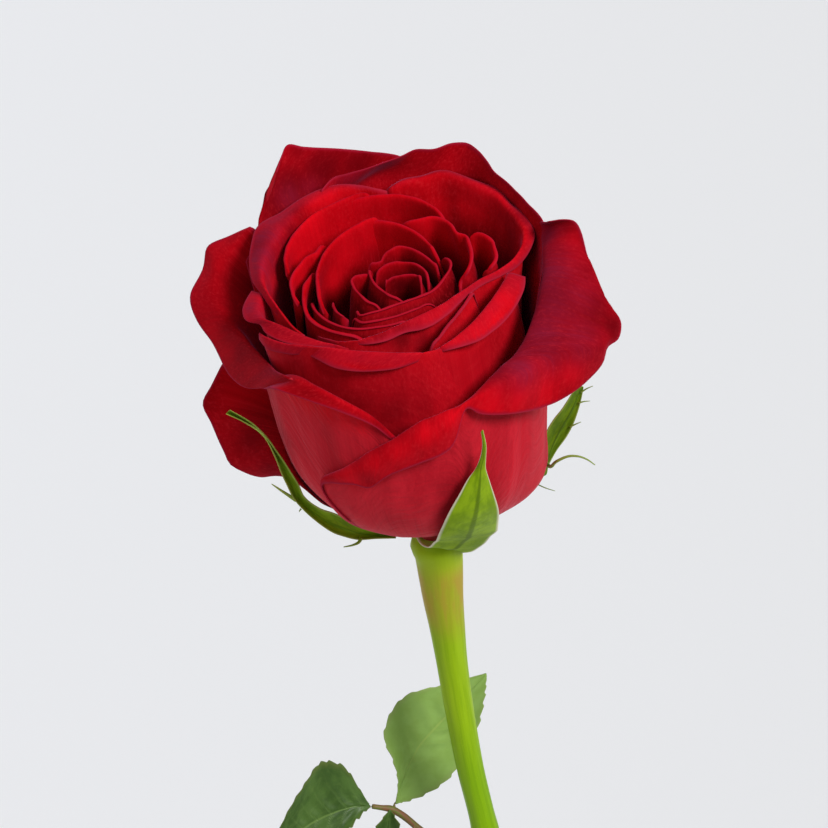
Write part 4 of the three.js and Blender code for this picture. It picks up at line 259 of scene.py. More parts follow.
# soft patches painted on the faces: the bluish bloom with a painted sheen, painted shade in the folds and painted light
# on the brighter turns (x, y, z, reach in mm, amount)
PATCHES = {
    'guard_front': {
        'bloom': [[1.5, -23.7, 366.5, 4.5, 0.75], [1.9, -31.3, 363.0, 6.4, 0.85], [2.7, -37.6, 358.9, 5.9, 0.6], [-3.9, -50.0, 351.1, 3.7, 0.85], [0.7, -42.1, 354.9, 5.9, 0.75], [-3.4, -46.6, 352.0, 4.8, 0.6], [7.6, -36.3, 360.3, 4.3, 0.6], [6.9, -42.8, 353.5, 4.3, 0.7], [1.6, -45.8, 352.8, 4.8, 0.6], [-6.7, -49.7, 350.5, 3.7, 0.5]],
        'shade': [[10.3, -39.1, 356.4, 4.8, 0.95], [13.9, -39.7, 355.3, 3.5, 0.95], [6.4, -38.6, 357.1, 4.0, 0.75], [5.8, -26.3, 370.8, 2.9, 0.6], [11.8, -37.6, 360.0, 3.2, 0.6], [2.1, -23.7, 368.2, 2.7, 0.7], [2.2, -36.6, 359.6, 4.8, 0.85], [1.2, -39.4, 357.0, 3.7, 0.5], [9.0, -34.4, 363.8, 2.7, 0.35], [-16.7, -51.9, 327.0, 3.2, 0.5], [-13.7, -51.8, 331.3, 2.4, 0.4], [-19.0, -51.2, 321.7, 3.2, 0.45], [-26.8, -49.7, 318.3, 3.2, 0.25], [-26.8, -56.2, 339.6, 1.9, 0.4], [-9.6, -52.0, 348.9, 3.2, 0.35]],
        'glow': [[6.8, -28.4, 368.6, 2.4, 0.6], [7.1, -30.8, 366.3, 2.4, 0.35], [6.1, -44.8, 348.1, 3.5, 0.7], [-3.8, -51.6, 346.3, 3.7, 0.8], [1.1, -47.1, 345.3, 4.0, 0.7], [-9.6, -54.1, 346.3, 3.7, 0.8], [-14.8, -55.4, 345.3, 3.2, 0.7], [-17.4, -56.2, 344.4, 3.2, 0.8], [-22.0, -58.2, 341.4, 3.5, 0.85], [-26.8, -57.6, 337.8, 3.5, 0.8], [-31.6, -55.9, 333.7, 3.2, 0.75], [-36.5, -52.8, 329.0, 2.9, 0.95]],
    },
    'guard_back_right': {
        'shade': [[0.7, -26.2, 362.9, 2.7, 0.5], [-28.9, -1.5, 373.7, 3.7, 0.6], [-0.6, -19.3, 362.3, 3.7, 0.4]],
        'bloom': [[-36.9, -2.6, 370.6, 4.3, 0.5], [-32.5, -2.4, 372.7, 3.7, 0.35]],
    },
    'cup_left': {
        'shade': [[-56.2, -16.5, 362.2, 4.8, 0.7], [-48.8, -12.9, 363.8, 2.1, 0.75], [-49.9, -15.2, 361.6, 2.1, 0.7], [-49.9, -16.3, 358.4, 2.1, 0.6], [-46.8, -10.1, 366.1, 1.9, 0.5]],
        'bloom': [[-52.4, -12.3, 364.4, 3.2, 0.3], [-54.5, -20.6, 361.6, 3.5, 0.85], [-54.0, -15.5, 363.3, 3.2, 0.8], [-52.6, -10.2, 364.8, 3.2, 0.7], [-54.5, -24.1, 360.2, 2.9, 0.7], [-52.8, -25.2, 356.8, 2.4, 0.4]],
        'glow': [[-48.8, -18.0, 349.8, 2.7, 0.3], [-52.5, -23.4, 356.6, 2.7, 0.3], [-40.9, -6.0, 366.2, 4.3, 0.7]],
    },
    'guard_left': {
        'shade': [[-57.4, -13.9, 351.1, 4.5, 0.8], [-58.3, -22.3, 346.3, 4.3, 0.6], [-48.5, -39.0, 330.3, 3.2, 0.35], [-30.6, -54.8, 341.1, 2.9, 0.6], [-63.8, -17.4, 350.6, 3.7, 0.35], [-60.4, -18.2, 348.7, 3.7, 0.45], [-58.5, -27.8, 344.5, 3.2, 0.4], [-61.3, -13.7, 353.3, 3.2, 0.3]],
        'glow': [[-64.6, -10.2, 355.6, 4.3, 0.3], [-62.3, -22.5, 343.0, 4.0, 0.3], [-47.7, -45.7, 343.4, 2.9, 0.8], [-45.1, -48.3, 343.6, 3.2, 0.9], [-41.0, -51.2, 343.4, 3.2, 0.95], [-37.3, -52.7, 342.4, 2.9, 0.95], [-34.0, -53.6, 341.3, 2.4, 0.85], [-63.8, -20.1, 345.2, 3.5, 0.5], [-65.2, -18.5, 347.1, 2.7, 0.3]],
    },
    'guard_back_left': {
        'shade': [[-42.1, 2.1, 370.4, 5.9, 0.9], [-49.1, -0.6, 368.3, 5.3, 0.85], [-36.0, 2.4, 371.4, 5.3, 0.8], [-52.0, -3.4, 366.2, 3.7, 0.7], [-47.1, 4.0, 374.0, 5.3, 0.5]],
        'bloom': [[-49.1, -1.7, 365.9, 2.9, 0.5], [-45.1, 0.5, 367.1, 2.4, 0.35]],
    },
    'guard_low': {
        'shade': [[-43.3, -32.5, 313.4, 3.2, 0.4], [-47.8, -28.3, 318.0, 3.2, 0.4], [-56.3, -21.1, 321.0, 4.3, 0.7], [-52.8, -25.3, 316.8, 3.7, 0.7]],
        'glow': [[-62.5, -15.0, 325.9, 3.7, 0.25]],
    },
    'cup_right': {
        'shade': [[-3.2, -15.5, 368.2, 4.3, 0.5], [-4.7, -16.6, 364.4, 3.2, 0.5], [-6.0, -15.2, 357.9, 2.7, 0.4], [-26.4, -42.3, 354.1, 2.9, 0.85], [-22.0, -41.0, 352.4, 2.9, 0.9], [-18.9, -39.0, 354.7, 1.9, 0.7], [-23.9, -41.1, 355.1, 1.9, 0.5], [-30.2, -43.5, 355.1, 2.1, 0.5]],
        'glow': [[-7.1, -12.3, 370.0, 3.2, 0.55], [-10.0, -8.3, 370.9, 3.2, 0.4], [-1.3, -21.5, 365.5, 2.9, 0.4], [-12.9, -6.9, 366.6, 3.5, 0.6], [-20.9, -3.4, 369.5, 4.3, 0.3], [-4.4, -26.6, 363.1, 3.7, 0.4], [-7.3, -29.7, 359.5, 3.7, 0.5], [-19.1, -40.1, 357.4, 2.9, 0.4], [-18.9, -4.0, 363.8, 4.3, 0.5]],
    },
    'cup_fold_right': {
        'glow': [[-13.3, -36.8, 358.6, 3.2, 0.5]],
    },
    'inner_mid_left': {
        'shade': [[-32.5, -12.0, 358.6, 2.4, 0.5]],
        'glow': [[-37.8, -15.3, 360.6, 4.3, 0.7], [-39.8, -17.8, 355.1, 3.7, 0.7], [-32.5, -12.2, 363.1, 4.3, 0.6]],
    },
    'cup_front': {
        'shade': [[-27.7, -50.5, 342.4, 4.0, 0.6], [-25.8, -50.7, 338.5, 2.4, 0.7], [-33.5, -49.1, 343.8, 3.5, 0.4], [-23.0, -50.8, 344.0, 3.5, 0.4], [-40.3, -46.5, 346.1, 3.2, 0.35], [-46.1, -43.6, 349.0, 2.7, 0.35], [-6.4, -38.8, 347.3, 3.2, 0.5]],
        'glow': [[-23.0, -50.6, 354.5, 3.5, 0.35], [-30.6, -49.9, 354.2, 3.2, 0.3], [-38.3, -47.3, 354.0, 3.2, 0.25]],
    },
    'cup_front_right': {
        'glow': [[-6.6, -38.1, 360.2, 3.2, 0.7], [-8.0, -43.3, 358.0, 3.5, 0.7], [-11.9, -45.8, 357.1, 3.5, 0.6], [-16.3, -47.5, 356.2, 3.5, 0.5]],
    },
    'cup_front_left': {
        'bloom': [[-56.1, -31.8, 355.2, 2.4, 0.7], [-54.4, -34.7, 355.2, 2.1, 0.5]],
    },
    'inner_back_left': {
        'glow': [[-44.8, -11.0, 364.1, 4.8, 0.8], [-46.8, -14.7, 359.2, 4.3, 0.65]],
    },
    'inner_left': {
        'glow': [[-46.9, -24.0, 358.0, 3.2, 0.6]],
    },
    'inner_back': {
        'glow': [[-24.9, -7.9, 367.0, 4.8, 0.5], [-30.9, -6.5, 367.5, 3.7, 0.5]],
    },
    'heart_back': {
        'glow': [[-26.5, -20.6, 362.5, 2.1, 0.6], [-22.9, -22.6, 362.5, 1.6, 0.4]],
    },
    'inner_mid_back': {
        'glow': [[-29.7, -12.1, 359.1, 1.9, 0.5], [-30.1, -13.0, 364.7, 3.2, 0.6], [-28.5, -13.1, 361.7, 3.5, 0.5], [-26.9, -14.4, 363.2, 3.2, 0.65], [-24.5, -16.3, 363.1, 2.7, 0.45], [-26.5, -15.3, 365.3, 2.7, 0.6], [-26.9, -14.7, 364.2, 3.7, 0.4]],
    },
    'heart_mid': {
        'glow': [[-27.2, -23.6, 360.6, 1.9, 0.45], [-30.0, -24.3, 360.7, 1.3, 0.3]],
    },
    'inner_right_back': {
        'glow': [[-21.3, -13.8, 365.1, 2.9, 0.7], [-17.9, -14.8, 363.6, 2.9, 0.6], [-24.5, -13.8, 364.6, 2.1, 0.5]],
    },
    'heart_tip': {
        'shade': [[-26.3, -26.3, 358.2, 2.4, 0.9], [-28.4, -27.4, 359.6, 1.6, 0.7], [-23.9, -26.0, 356.7, 1.9, 0.7], [-25.9, -24.8, 354.5, 2.1, 0.8]],
    },
}


# ------------------------------------------------------------------ meshes
def grid_normals(G):
    du = np.empty_like(G)
    dv = np.empty_like(G)
    du[:, 1:-1] = G[:, 2:] - G[:, :-2]
    du[:, 0], du[:, -1] = G[:, 1] - G[:, 0], G[:, -1] - G[:, -2]
    dv[1:-1] = G[2:] - G[:-2]
    dv[0], dv[-1] = G[1] - G[0], G[-1] - G[-2]
    N = np.cross(du, dv)
    return N / np.maximum(np.linalg.norm(N, axis=-1, keepdims=True), 1e-9), du, dv


def smooth_normals(N, times=1):
    for _ in range(times):
        M = N.copy()
        M[1:-1] = (N[:-2] + 2 * N[1:-1] + N[2:]) / 4
        N = M.copy()
        N[:, 1:-1] = (M[:, :-2] + 2 * M[:, 1:-1] + M[:, 2:]) / 4
    return N / np.maximum(np.linalg.norm(N, axis=-1, keepdims=True), 1e-9)


class Build:
    """Collects points, faces and per-point numbers for one mesh. Millimetres in, metres out."""

    def __init__(self):
        self.co, self.faces, self.mat, self.att, self.n = [], [], [], {}, 0

    def add(self, P, **att):
        P = np.asarray(P, float).reshape(-1, 3)
        first = self.n
        self.co.append(P)
        for k, v in att.items():
            self.att.setdefault(k, []).append((first, np.broadcast_to(np.asarray(v, float).reshape(-1) if np.ndim(v) else v, (len(P),))))
        self.n += len(P)
        return first

    def quads(self, F, mat=0):
        F = np.asarray(F, int).reshape(-1, 4)
        self.faces.extend(F.tolist())
        self.mat.extend([mat] * len(F))

    def tris(self, F, mat=0):
        F = np.asarray(F, int).reshape(-1, 3)
        self.faces.extend(F.tolist())
        self.mat.extend([mat] * len(F))

    def make(self, name, materials, smooth=True):
        co = np.concatenate(self.co) * MM
        me = bpy.data.meshes.new(name)
        me.from_pydata(co.tolist(), [], self.faces)
        for k, parts in self.att.items():
            a = me.attributes.new(k, "FLOAT", "POINT")
            v = np.zeros(self.n, np.float32)
            for first, x in parts:
                v[first:first + len(x)] = x
            a.data.foreach_set("value", v)
        for m in materials:
            me.materials.append(m)
        me.polygons.foreach_set("material_index", np.array(self.mat, np.int32))
        me.polygons.foreach_set("use_smooth", np.ones(len(self.faces), bool) if smooth else np.zeros(len(self.faces), bool))
        me.validate()
        me.update()
        ob = bpy.data.objects.new(name, me)
        bpy.context.scene.collection.objects.link(ob)
        return ob


def sheet_mesh(b, G, T, att, mats=(0, 1, 0), cap=True):
    """A closed curved sheet round the grid G of points, T thick, with a rounded edge. The first face follows the grid's normals.
    att: per-grid-point numbers. mats: material of the first face, the second face and the edge."""
    n, m = G.shape[:2]
    N, du, dv = grid_normals(G)
    N = smooth_normals(N, 1)
    T = np.broadcast_to(T, (n, m))
    a = b.add(G + N * T[..., None] / 2, side=1.0, edge=0.0, **{k: v.reshape(-1) for k, v in att.items()})
    c = b.add(G - N * T[..., None] / 2, side=0.0, edge=0.0, **{k: v.reshape(-1) for k, v in att.items()})
    I = np.arange(n * m).reshape(n, m)
    q = np.stack([I[:-1, :-1], I[:-1, 1:], I[1:, 1:], I[1:, :-1]], -1).reshape(-1, 4)
    b.quads(q + a, mats[0])
    b.quads(q[:, ::-1] + c, mats[1])
    # the edge runs round the grid: up the last column, back along the last row, down the first column
    ring = [(i, m - 1) for i in range(n)] + [(n - 1, j) for j in range(m - 2, -1, -1)] + [(i, 0) for i in range(n - 2, -1, -1)]
    out = []
    for (i, j) in ring:
        o = np.zeros(3)
        if j == m - 1:
            o += du[i, j] / max(np.linalg.norm(du[i, j]), 1e-9)
        if j == 0:
            o -= du[i, j] / max(np.linalg.norm(du[i, j]), 1e-9)
        if i == n - 1:
            o += dv[i, j] / max(np.linalg.norm(dv[i, j]), 1e-9)
        l = np.linalg.norm(o)
        out.append(o / l if l > 1e-6 else o)
    out = np.array(out)
    ij = np.array(ring)
    P, NN, TT = G[ij[:, 0], ij[:, 1]], N[ij[:, 0], ij[:, 1]], T[ij[:, 0], ij[:, 1]][:, None]
    ar = {k: v[ij[:, 0], ij[:, 1]] for k, v in att.items()}
    e1 = b.add(P + NN * TT * 0.34 + out * TT * 0.30, side=0.9, edge=0.7, **ar)
    e2 = b.add(P + out * TT * 0.44, side=0.5, edge=1.0, **ar)
    e3 = b.add(P - NN * TT * 0.34 + out * TT * 0.30, side=0.1, edge=0.7, **ar)
    A = a + ij[:, 0] * m + ij[:, 1]
    Bv = c + ij[:, 0] * m + ij[:, 1]
    k = len(ring)
    E = [A, e1 + np.arange(k), e2 + np.arange(k), e3 + np.arange(k), Bv]
    for p, q2 in zip(E[:-1], E[1:]):
        b.quads(np.stack([p[:-1], q2[:-1], q2[1:], p[1:]], -1), mats[2])
    if cap:  # the narrow foot, hidden between its neighbours
        for j in range(m - 1):
            b.quads([[a + j + 1, a + j, c + j, c + j + 1]], mats[2])
        b.tris([[A[-1], e1 + k - 1, e2 + k - 1], [A[-1], e2 + k - 1, Bv[-1]], [e2 + k - 1, e3 + k - 1, Bv[-1]]], mats[2])
        b.tris([[A[0], e2, e1], [A[0], Bv[0], e2], [e2, Bv[0], e3]], mats[2])


def tube(b, path, sides=16, per=6, att=None, mat=0, side_val=1.0, bulge=None):
    """A round closed bar along points (x, y, z, radius)."""
    path = np.asarray(path, float)
    c = lengths(path[:, :3])
    x = np.linspace(0, c[-1], (len(path) - 1) * per + 1)
    P = spline(path, c, x)
    n = len(P)
    t = np.gradient(P[:, :3], axis=0)
    t /= np.linalg.norm(t, axis=1, keepdims=True)
    s = np.cross(t[0], [1, 0, 0] if abs(t[0][0]) < 0.9 else [0, 1, 0])
    s /= np.linalg.norm(s)
    ang = 2 * np.pi * np.arange(sides) / sides
    V, along, rad, frames = [], [], [], []
    for i in range(n):
        s = s - t[i] * (s @ t[i])
        s /= np.linalg.norm(s)
        up = np.cross(t[i], s)
        r = np.full(sides, P[i, 3])
        if bulge is not None:
            r = r * bulge(x[i] / c[-1], ang, P[i])
        V.append(P[i, :3] + r[:, None] * (np.cos(ang)[:, None] * s + np.sin(ang)[:, None] * up))
        along.append(np.full(sides, x[i]))
    V = np.array(V)
    extra = att or {}
    a = b.add(V, side=side_val, edge=0.0, pv=np.array(along), pu=np.tile(ang, n), **extra)
    I = np.arange(n * sides).reshape(n, sides)
    J = np.roll(I, -1, axis=1)
    b.quads(np.stack([I[:-1], J[:-1], J[1:], I[1:]], -1).reshape(-1, 4) + a, mat)
    c0 = b.add([P[0, :3]], side=side_val, edge=0.0, pv=0.0, pu=0.0, **extra)
    c1 = b.add([P[-1, :3] + t[-1] * P[-1, 3] * 0.5], side=side_val, edge=0.0, pv=c[-1], pu=0.0, **extra)
    b.tris(np.stack([np.full(sides, c0), a + J[0], a + I[0]], -1), mat)
    b.tris(np.stack([np.full(sides, c1), a + I[-1], a + J[-1]], -1), mat)


# ------------------------------------------------------------------ materials
def new_mat(name):
    m = bpy.data.materials.new(name)
    m.use_nodes = True
    nt = m.node_tree
    for n in list(nt.nodes):
        nt.nodes.remove(n)
    out = nt.nodes.new("ShaderNodeOutputMaterial")
    bs = nt.nodes.new("ShaderNodeBsdfPrincipled")
    nt.links.new(bs.outputs["BSDF"], out.inputs["Surface"])
    return m, nt, bs


class Net:
    """Small helpers for writing a node tree as formulas."""

    def __init__(self, nt):
        self.nt = nt

    def node(self, kind, **kw):
        n = self.nt.nodes.new(kind)
        for k, v in kw.items():
            setattr(n, k, v)
        return n

    def put(self, sock, v):
        if v is None:
            return
        if isinstance(v, bpy.types.NodeSocket):
            self.nt.links.new(v, sock)
        else:
            sock.default_value = v

    def attr(self, name):
        return self.node("ShaderNodeAttribute", attribute_name=name).outputs["Fac"]

    def math(self, op, a, b=None, c=None, clamp=False):
        n = self.node("ShaderNodeMath", operation=op, use_clamp=clamp)
        for s, v in zip(n.inputs, (a, b, c)):
            self.put(s, v)
        return n.outputs[0]

    def mul(self, a, b): return self.math("MULTIPLY", a, b)
    def addv(self, a, b): return self.math("ADD", a, b)
    def sub(self, a, b): return self.math("SUBTRACT", a, b)

    def xyz(self, x, y, z):
        n = self.node("ShaderNodeCombineXYZ")
        for s, v in zip(n.inputs, (x, y, z)):
            self.put(s, v)
        return n.outputs[0]

    def noise(self, vec, scale, detail=2.0, rough=0.5, dist=0.0):
        n = self.node("ShaderNodeTexNoise")
        self.put(n.inputs["Vector"], vec)
        n.inputs["Scale"].default_value = scale
        n.inputs["Detail"].default_value = detail
        n.inputs["Roughness"].default_value = rough
        n.inputs["Distortion"].default_value = dist
        return n.outputs[0]

    def remap(self, v, a, b, c=0.0, d=1.0, smooth=True):
        n = self.node("ShaderNodeMapRange", interpolation_type="SMOOTHSTEP" if smooth else "LINEAR", clamp=True)
        for s, x in zip(n.inputs, (v, a, b, c, d)):
            self.put(s, x)
        return n.outputs[0]

    def mix(self, f, a, b, mode="MIX"):
        n = self.node("ShaderNodeMix", data_type="RGBA", blend_type=mode)
        self.put(n.inputs[0], f)
        self.put(n.inputs[6], a)
        self.put(n.inputs[7], b)
        return n.outputs[2]

    def bump(self, height, strength, distance_mm, normal=None):
        n = self.node("ShaderNodeBump")
        n.inputs["Strength"].default_value = strength
        n.inputs["Distance"].default_value = distance_mm * MM
        self.put(n.inputs["Height"], height)
        self.put(n.inputs["Normal"], normal)
        return n.outputs[0]


def rgb(r, g, b):
    """0 to 255 screen colour to the linear colour that Blender keeps."""
    f = lambda c: c / 12.92 if c <= 0.04045 else ((c + 0.055) / 1.055)**2.4
    return (f(r / 255), f(g / 255), f(b / 255), 1.0)


def setup(bs, rough=0.6, spec=0.3, sheen=0.0, sheen_rough=0.4, sheen_tint=(1, 1, 1, 1), coat=0.0, coat_rough=0.1, sss=0.0, sss_radius=(1, 0.2, 0.1), sss_scale=0.001, ior=1.45):
    bs.inputs["Roughness"].default_value = rough
    bs.inputs["Specular IOR Level"].default_value = spec
    bs.inputs["Sheen Weight"].default_value = sheen
    bs.inputs["Sheen Roughness"].default_value = sheen_rough
    bs.inputs["Sheen Tint"].default_value = sheen_tint
    bs.inputs["Coat Weight"].default_value = coat
    bs.inputs["Coat Roughness"].default_value = coat_rough
    bs.inputs["IOR"].default_value = ior
    bs.inputs["Subsurface Weight"].default_value = sss
    bs.inputs["Subsurface Radius"].default_value = sss_radius
    bs.inputs["Subsurface Scale"].default_value = sss_scale


# colours for the velvet grain, for painted shade and painted highlights, for painted light, and for the bluish bloom
# with its painted sheen
DARK_GRAIN_AND_SHADE, PAINTED_LIGHT_RED, BLOOM_SHEEN_RED, LIGHT_GRAIN_AND_HIGHLIGHT = rgb(108, 0, 9), rgb(226, 8, 25), rgb(136, 26, 54), rgb(224, 42, 52)


def petal_material(name, base, deep, vein, rim, edge_band_sheen, edge_band_sheen_w, foot, vein_amt, spec, sheen, sheen_tint, sheen_rough=0.35, rough=0.75, bump=0.25, sss=0.0, crinkle=0.0, deep_shade=None, reach=(5.0, 18.0), crest=None, crest_sheen_in=3.0, grain_amt=0.3, rib_amt=0.15, fine_amt=0.4, crest_sheen_amt=0.5, rim_highlight_amt=0.5):
    """base: the face's colour; deep: its darker patches; vein: the fine lines; rim: a painted highlight, a thin line
    along the edge;
    band: the tint and painted sheen just behind the edge, edge_band_sheen_w mm wide; foot: the colour toward the claw."""
    m, nt, bs = new_mat(name)
    k = Net(nt)
    setup(bs, rough=rough, spec=spec, sheen=sheen, sheen_rough=sheen_rough, sheen_tint=sheen_tint, sss=sss, sss_radius=(1.2, 0.06, 0.08), sss_scale=0.0012)
    U, V, S, E, H = k.attr("pu"), k.attr("pv"), k.attr("seed"), k.attr("edge"), k.attr("hgt")
    fine = k.noise(k.xyz(k.mul(U, 1.0), k.mul(V, 0.05), S), 1.5, 3.0, 0.6, 0.25)
    broad = k.noise(k.xyz(k.mul(U, 1.0), k.mul(V, 0.35), S), 0.13, 3.0, 0.55)
    ribs = k.noise(k.xyz(k.mul(U, 1.0), k.mul(V, 0.04), S), 0.42, 2.0, 0.5, 0.15)
    grain = k.noise(k.xyz(U, V, S), 5.5, 2.0, 0.6)
    col = k.mix(k.remap(broad, 0.35, 0.68), base, deep)
    col = k.mix(k.mul(k.remap(fine, 0.48, 0.72), vein_amt), col, vein)
    col = k.mix(k.mul(k.remap(grain, 0.5, 0.8), 0.12), col, vein)
    col = k.mix(k.remap(H, 26.0, 4.0), col, foot)
    if deep_shade:  # painted shade: darker toward the claw, where it faces the other petals
        col = k.mix(k.mul(k.remap(k.attr("down"), reach[0], reach[1]), 0.85), col, deep_shade)
    if crest:  # the bluish bloom and a painted sheen where the petal turns over
        f_ = k.attr("fold")
        soft = k.addv(f_, k.mul(k.sub(broad, 0.5), 3.0))
        near = k.mul(k.remap(soft, crest_sheen_in, -0.6), k.remap(soft, -5.0, -2.6))
        col = k.mix(k.mul(near, crest_sheen_amt), col, crest)
    velvet = k.noise(k.xyz(U, k.mul(V, 0.45), S), 2.3, 3.0, 0.7)
    col = k.mix(k.mul(k.remap(velvet, 0.46, 0.76), grain_amt * 1.15), col, LIGHT_GRAIN_AND_HIGHLIGHT)
    col = k.mix(k.mul(k.remap(velvet, 0.48, 0.24), grain_amt), col, DARK_GRAIN_AND_SHADE)
    # painted shade, painted light and the bluish bloom with a painted sheen, from the patches
    col = k.mix(k.mul(k.attr("shade"), k.remap(broad, 0.3, 0.6, 0.8, 1.0)), col, DARK_GRAIN_AND_SHADE)
    col = k.mix(k.mul(k.attr("glow"), k.remap(fine, 0.3, 0.7, 0.7, 1.0)), col, PAINTED_LIGHT_RED)
    col = k.mix(k.mul(k.attr("bloom"), k.remap(fine, 0.35, 0.7, 0.6, 1.0)), col, BLOOM_SHEEN_RED)
    col = k.mix(k.mul(k.remap(velvet, 0.5, 0.78), grain_amt * 0.5), col, k.mix(0.45, col, LIGHT_GRAIN_AND_HIGHLIGHT))
    # painted sheen: a tinted band just behind the edge
    edge_noise = k.addv(k.mul(k.sub(broad, 0.5), edge_band_sheen_w * 1.6), k.mul(k.sub(fine, 0.5), edge_band_sheen_w * 0.8))
    col = k.mix(k.mul(k.remap(k.addv(V, edge_noise), edge_band_sheen_w, 0.15), 0.85), col, edge_band_sheen)
    # painted highlight: a thin pinkish line along the edge
    col = k.mix(k.mul(k.remap(V, 0.45, 0.08), rim_highlight_amt), col, rim)
    k.put(bs.inputs["Base Color"], col)
    hb = k.addv(k.mul(fine, fine_amt), k.addv(k.mul(ribs, rib_amt), k.mul(grain, 0.18)))
    if crinkle:  # short soft creases that cross the veins at a slant
        D = k.attr("down")
        cross = k.noise(k.xyz(k.addv(k.mul(U, 0.22), k.mul(D, 0.1)), k.sub(k.mul(D, 0.85), k.mul(U, 0.3)), S), 0.8, 3.0, 0.5, 0.5)
        hb = k.addv(hb, k.mul(cross, 2.2 * crinkle))
        # painted shade in the troughs of the creases and a painted highlight on their ridges
        col = k.mix(k.mul(k.remap(cross, 0.5, 0.34), 0.24 * crinkle), col, k.mix(0.5, base, DARK_GRAIN_AND_SHADE))
        col = k.mix(k.mul(k.remap(cross, 0.54, 0.7), 0.16 * crinkle), col, LIGHT_GRAIN_AND_HIGHLIGHT)
        k.put(bs.inputs["Base Color"], col)
    k.put(bs.inputs["Normal"], k.bump(hb, bump, 0.32))
    k.put(bs.inputs["Roughness"], k.remap(fine, 0.3, 0.7, rough - 0.05, rough + 0.08))
    return m


# bluish bloom and painted sheen on the turned-over crests
CREST_BLOOM_SHEEN = rgb(140, 30, 58)
RED = dict(
    guard_out=petal_material("petal_guard_outside", rgb(207, 31, 47), rgb(184, 18, 35), rgb(218, 54, 68), rgb(196, 62, 82), rgb(178, 28, 50), 1.4, rgb(186, 42, 50), 0.04, 0.08, 0.22, (1.0, 0.4, 0.5, 1), bump=0.34, crinkle=0.8, grain_amt=0.2, rib_amt=0.0, fine_amt=0.04),
    guard_in=petal_material("petal_guard_inside", rgb(184, 4, 19), rgb(156, 1, 13), rgb(200, 12, 28), rgb(168, 38, 62), rgb(166, 12, 36), 0.9, rgb(140, 0, 8), 0.2, 0.03, 0.3, (0.6, 0.18, 0.4, 1), bump=0.12, deep_shade=rgb(120, 0, 10)),
    cup_out=petal_material("petal_cup_outside", rgb(190, 8, 25), rgb(172, 5, 19), rgb(200, 22, 38), rgb(182, 54, 76), rgb(166, 22, 46), 1.4, rgb(176, 10, 24), 0.14, 0.05, 0.22, (0.9, 0.2, 0.35, 1), bump=0.14, crinkle=0.45, grain_amt=0.22, rib_amt=0.05),
    cup_in=petal_material("petal_cup_inside", rgb(198, 4, 20), rgb(170, 1, 12), rgb(204, 10, 27), rgb(168, 38, 60), rgb(172, 20, 42), 1.2, rgb(130, 0, 6), 0.14, 0.03, 0.3, (0.6, 0.18, 0.4, 1), bump=0.12, crest=CREST_BLOOM_SHEEN, crest_sheen_in=0.8, crest_sheen_amt=0.22, deep_shade=rgb(116, 0, 6), reach=(5.0, 18.0)),
    inner_out=petal_material("petal_inner_outside", rgb(188, 6, 24), rgb(162, 2, 15), rgb(198, 16, 35), rgb(190, 36, 58), rgb(176, 12, 38), 0.9, rgb(140, 0, 8), 0.14, 0.04, 0.16, (0.7, 0.14, 0.3, 1), bump=0.12, deep_shade=rgb(84, 0, 4), reach=(0.8, 6.0), grain_amt=0.2),
    inner_in=petal_material("petal_inner_inside", rgb(204, 3, 20), rgb(178, 0, 12), rgb(210, 10, 26), rgb(192, 34, 58), rgb(180, 8, 32), 0.7, rgb(110, 0, 4), 0.12, 0.03, 0.14, (0.6, 0.1, 0.25, 1), bump=0.1, deep_shade=rgb(88, 0, 4), reach=(4.0, 15.0), grain_amt=0.2),
    # the heart's colours are a darker copy of the inner petals' colours: painted shade deep in the flower
    heart_out=petal_material("petal_heart_outside_painted_shade", rgb(180, 6, 23), rgb(154, 1, 13), rgb(190, 15, 34), rgb(192, 36, 60), rgb(176, 12, 38), 0.8, rgb(140, 0, 8), 0.14, 0.04, 0.16, (0.7, 0.14, 0.3, 1), bump=0.12, deep_shade=rgb(84, 0, 4), reach=(0.3, 3.6), grain_amt=0.2, rim_highlight_amt=0.35),
    heart_in=petal_material("petal_heart_inside_painted_shade", rgb(172, 2, 16), rgb(146, 0, 10), rgb(182, 8, 24), rgb(190, 34, 58), rgb(172, 8, 32), 0.7, rgb(110, 0, 4), 0.12, 0.03, 0.14, (0.6, 0.1, 0.25, 1), bump=0.1, deep_shade=rgb(66, 0, 3), reach=(1.0, 8.0), grain_amt=0.2, rim_highlight_amt=0.35),
)


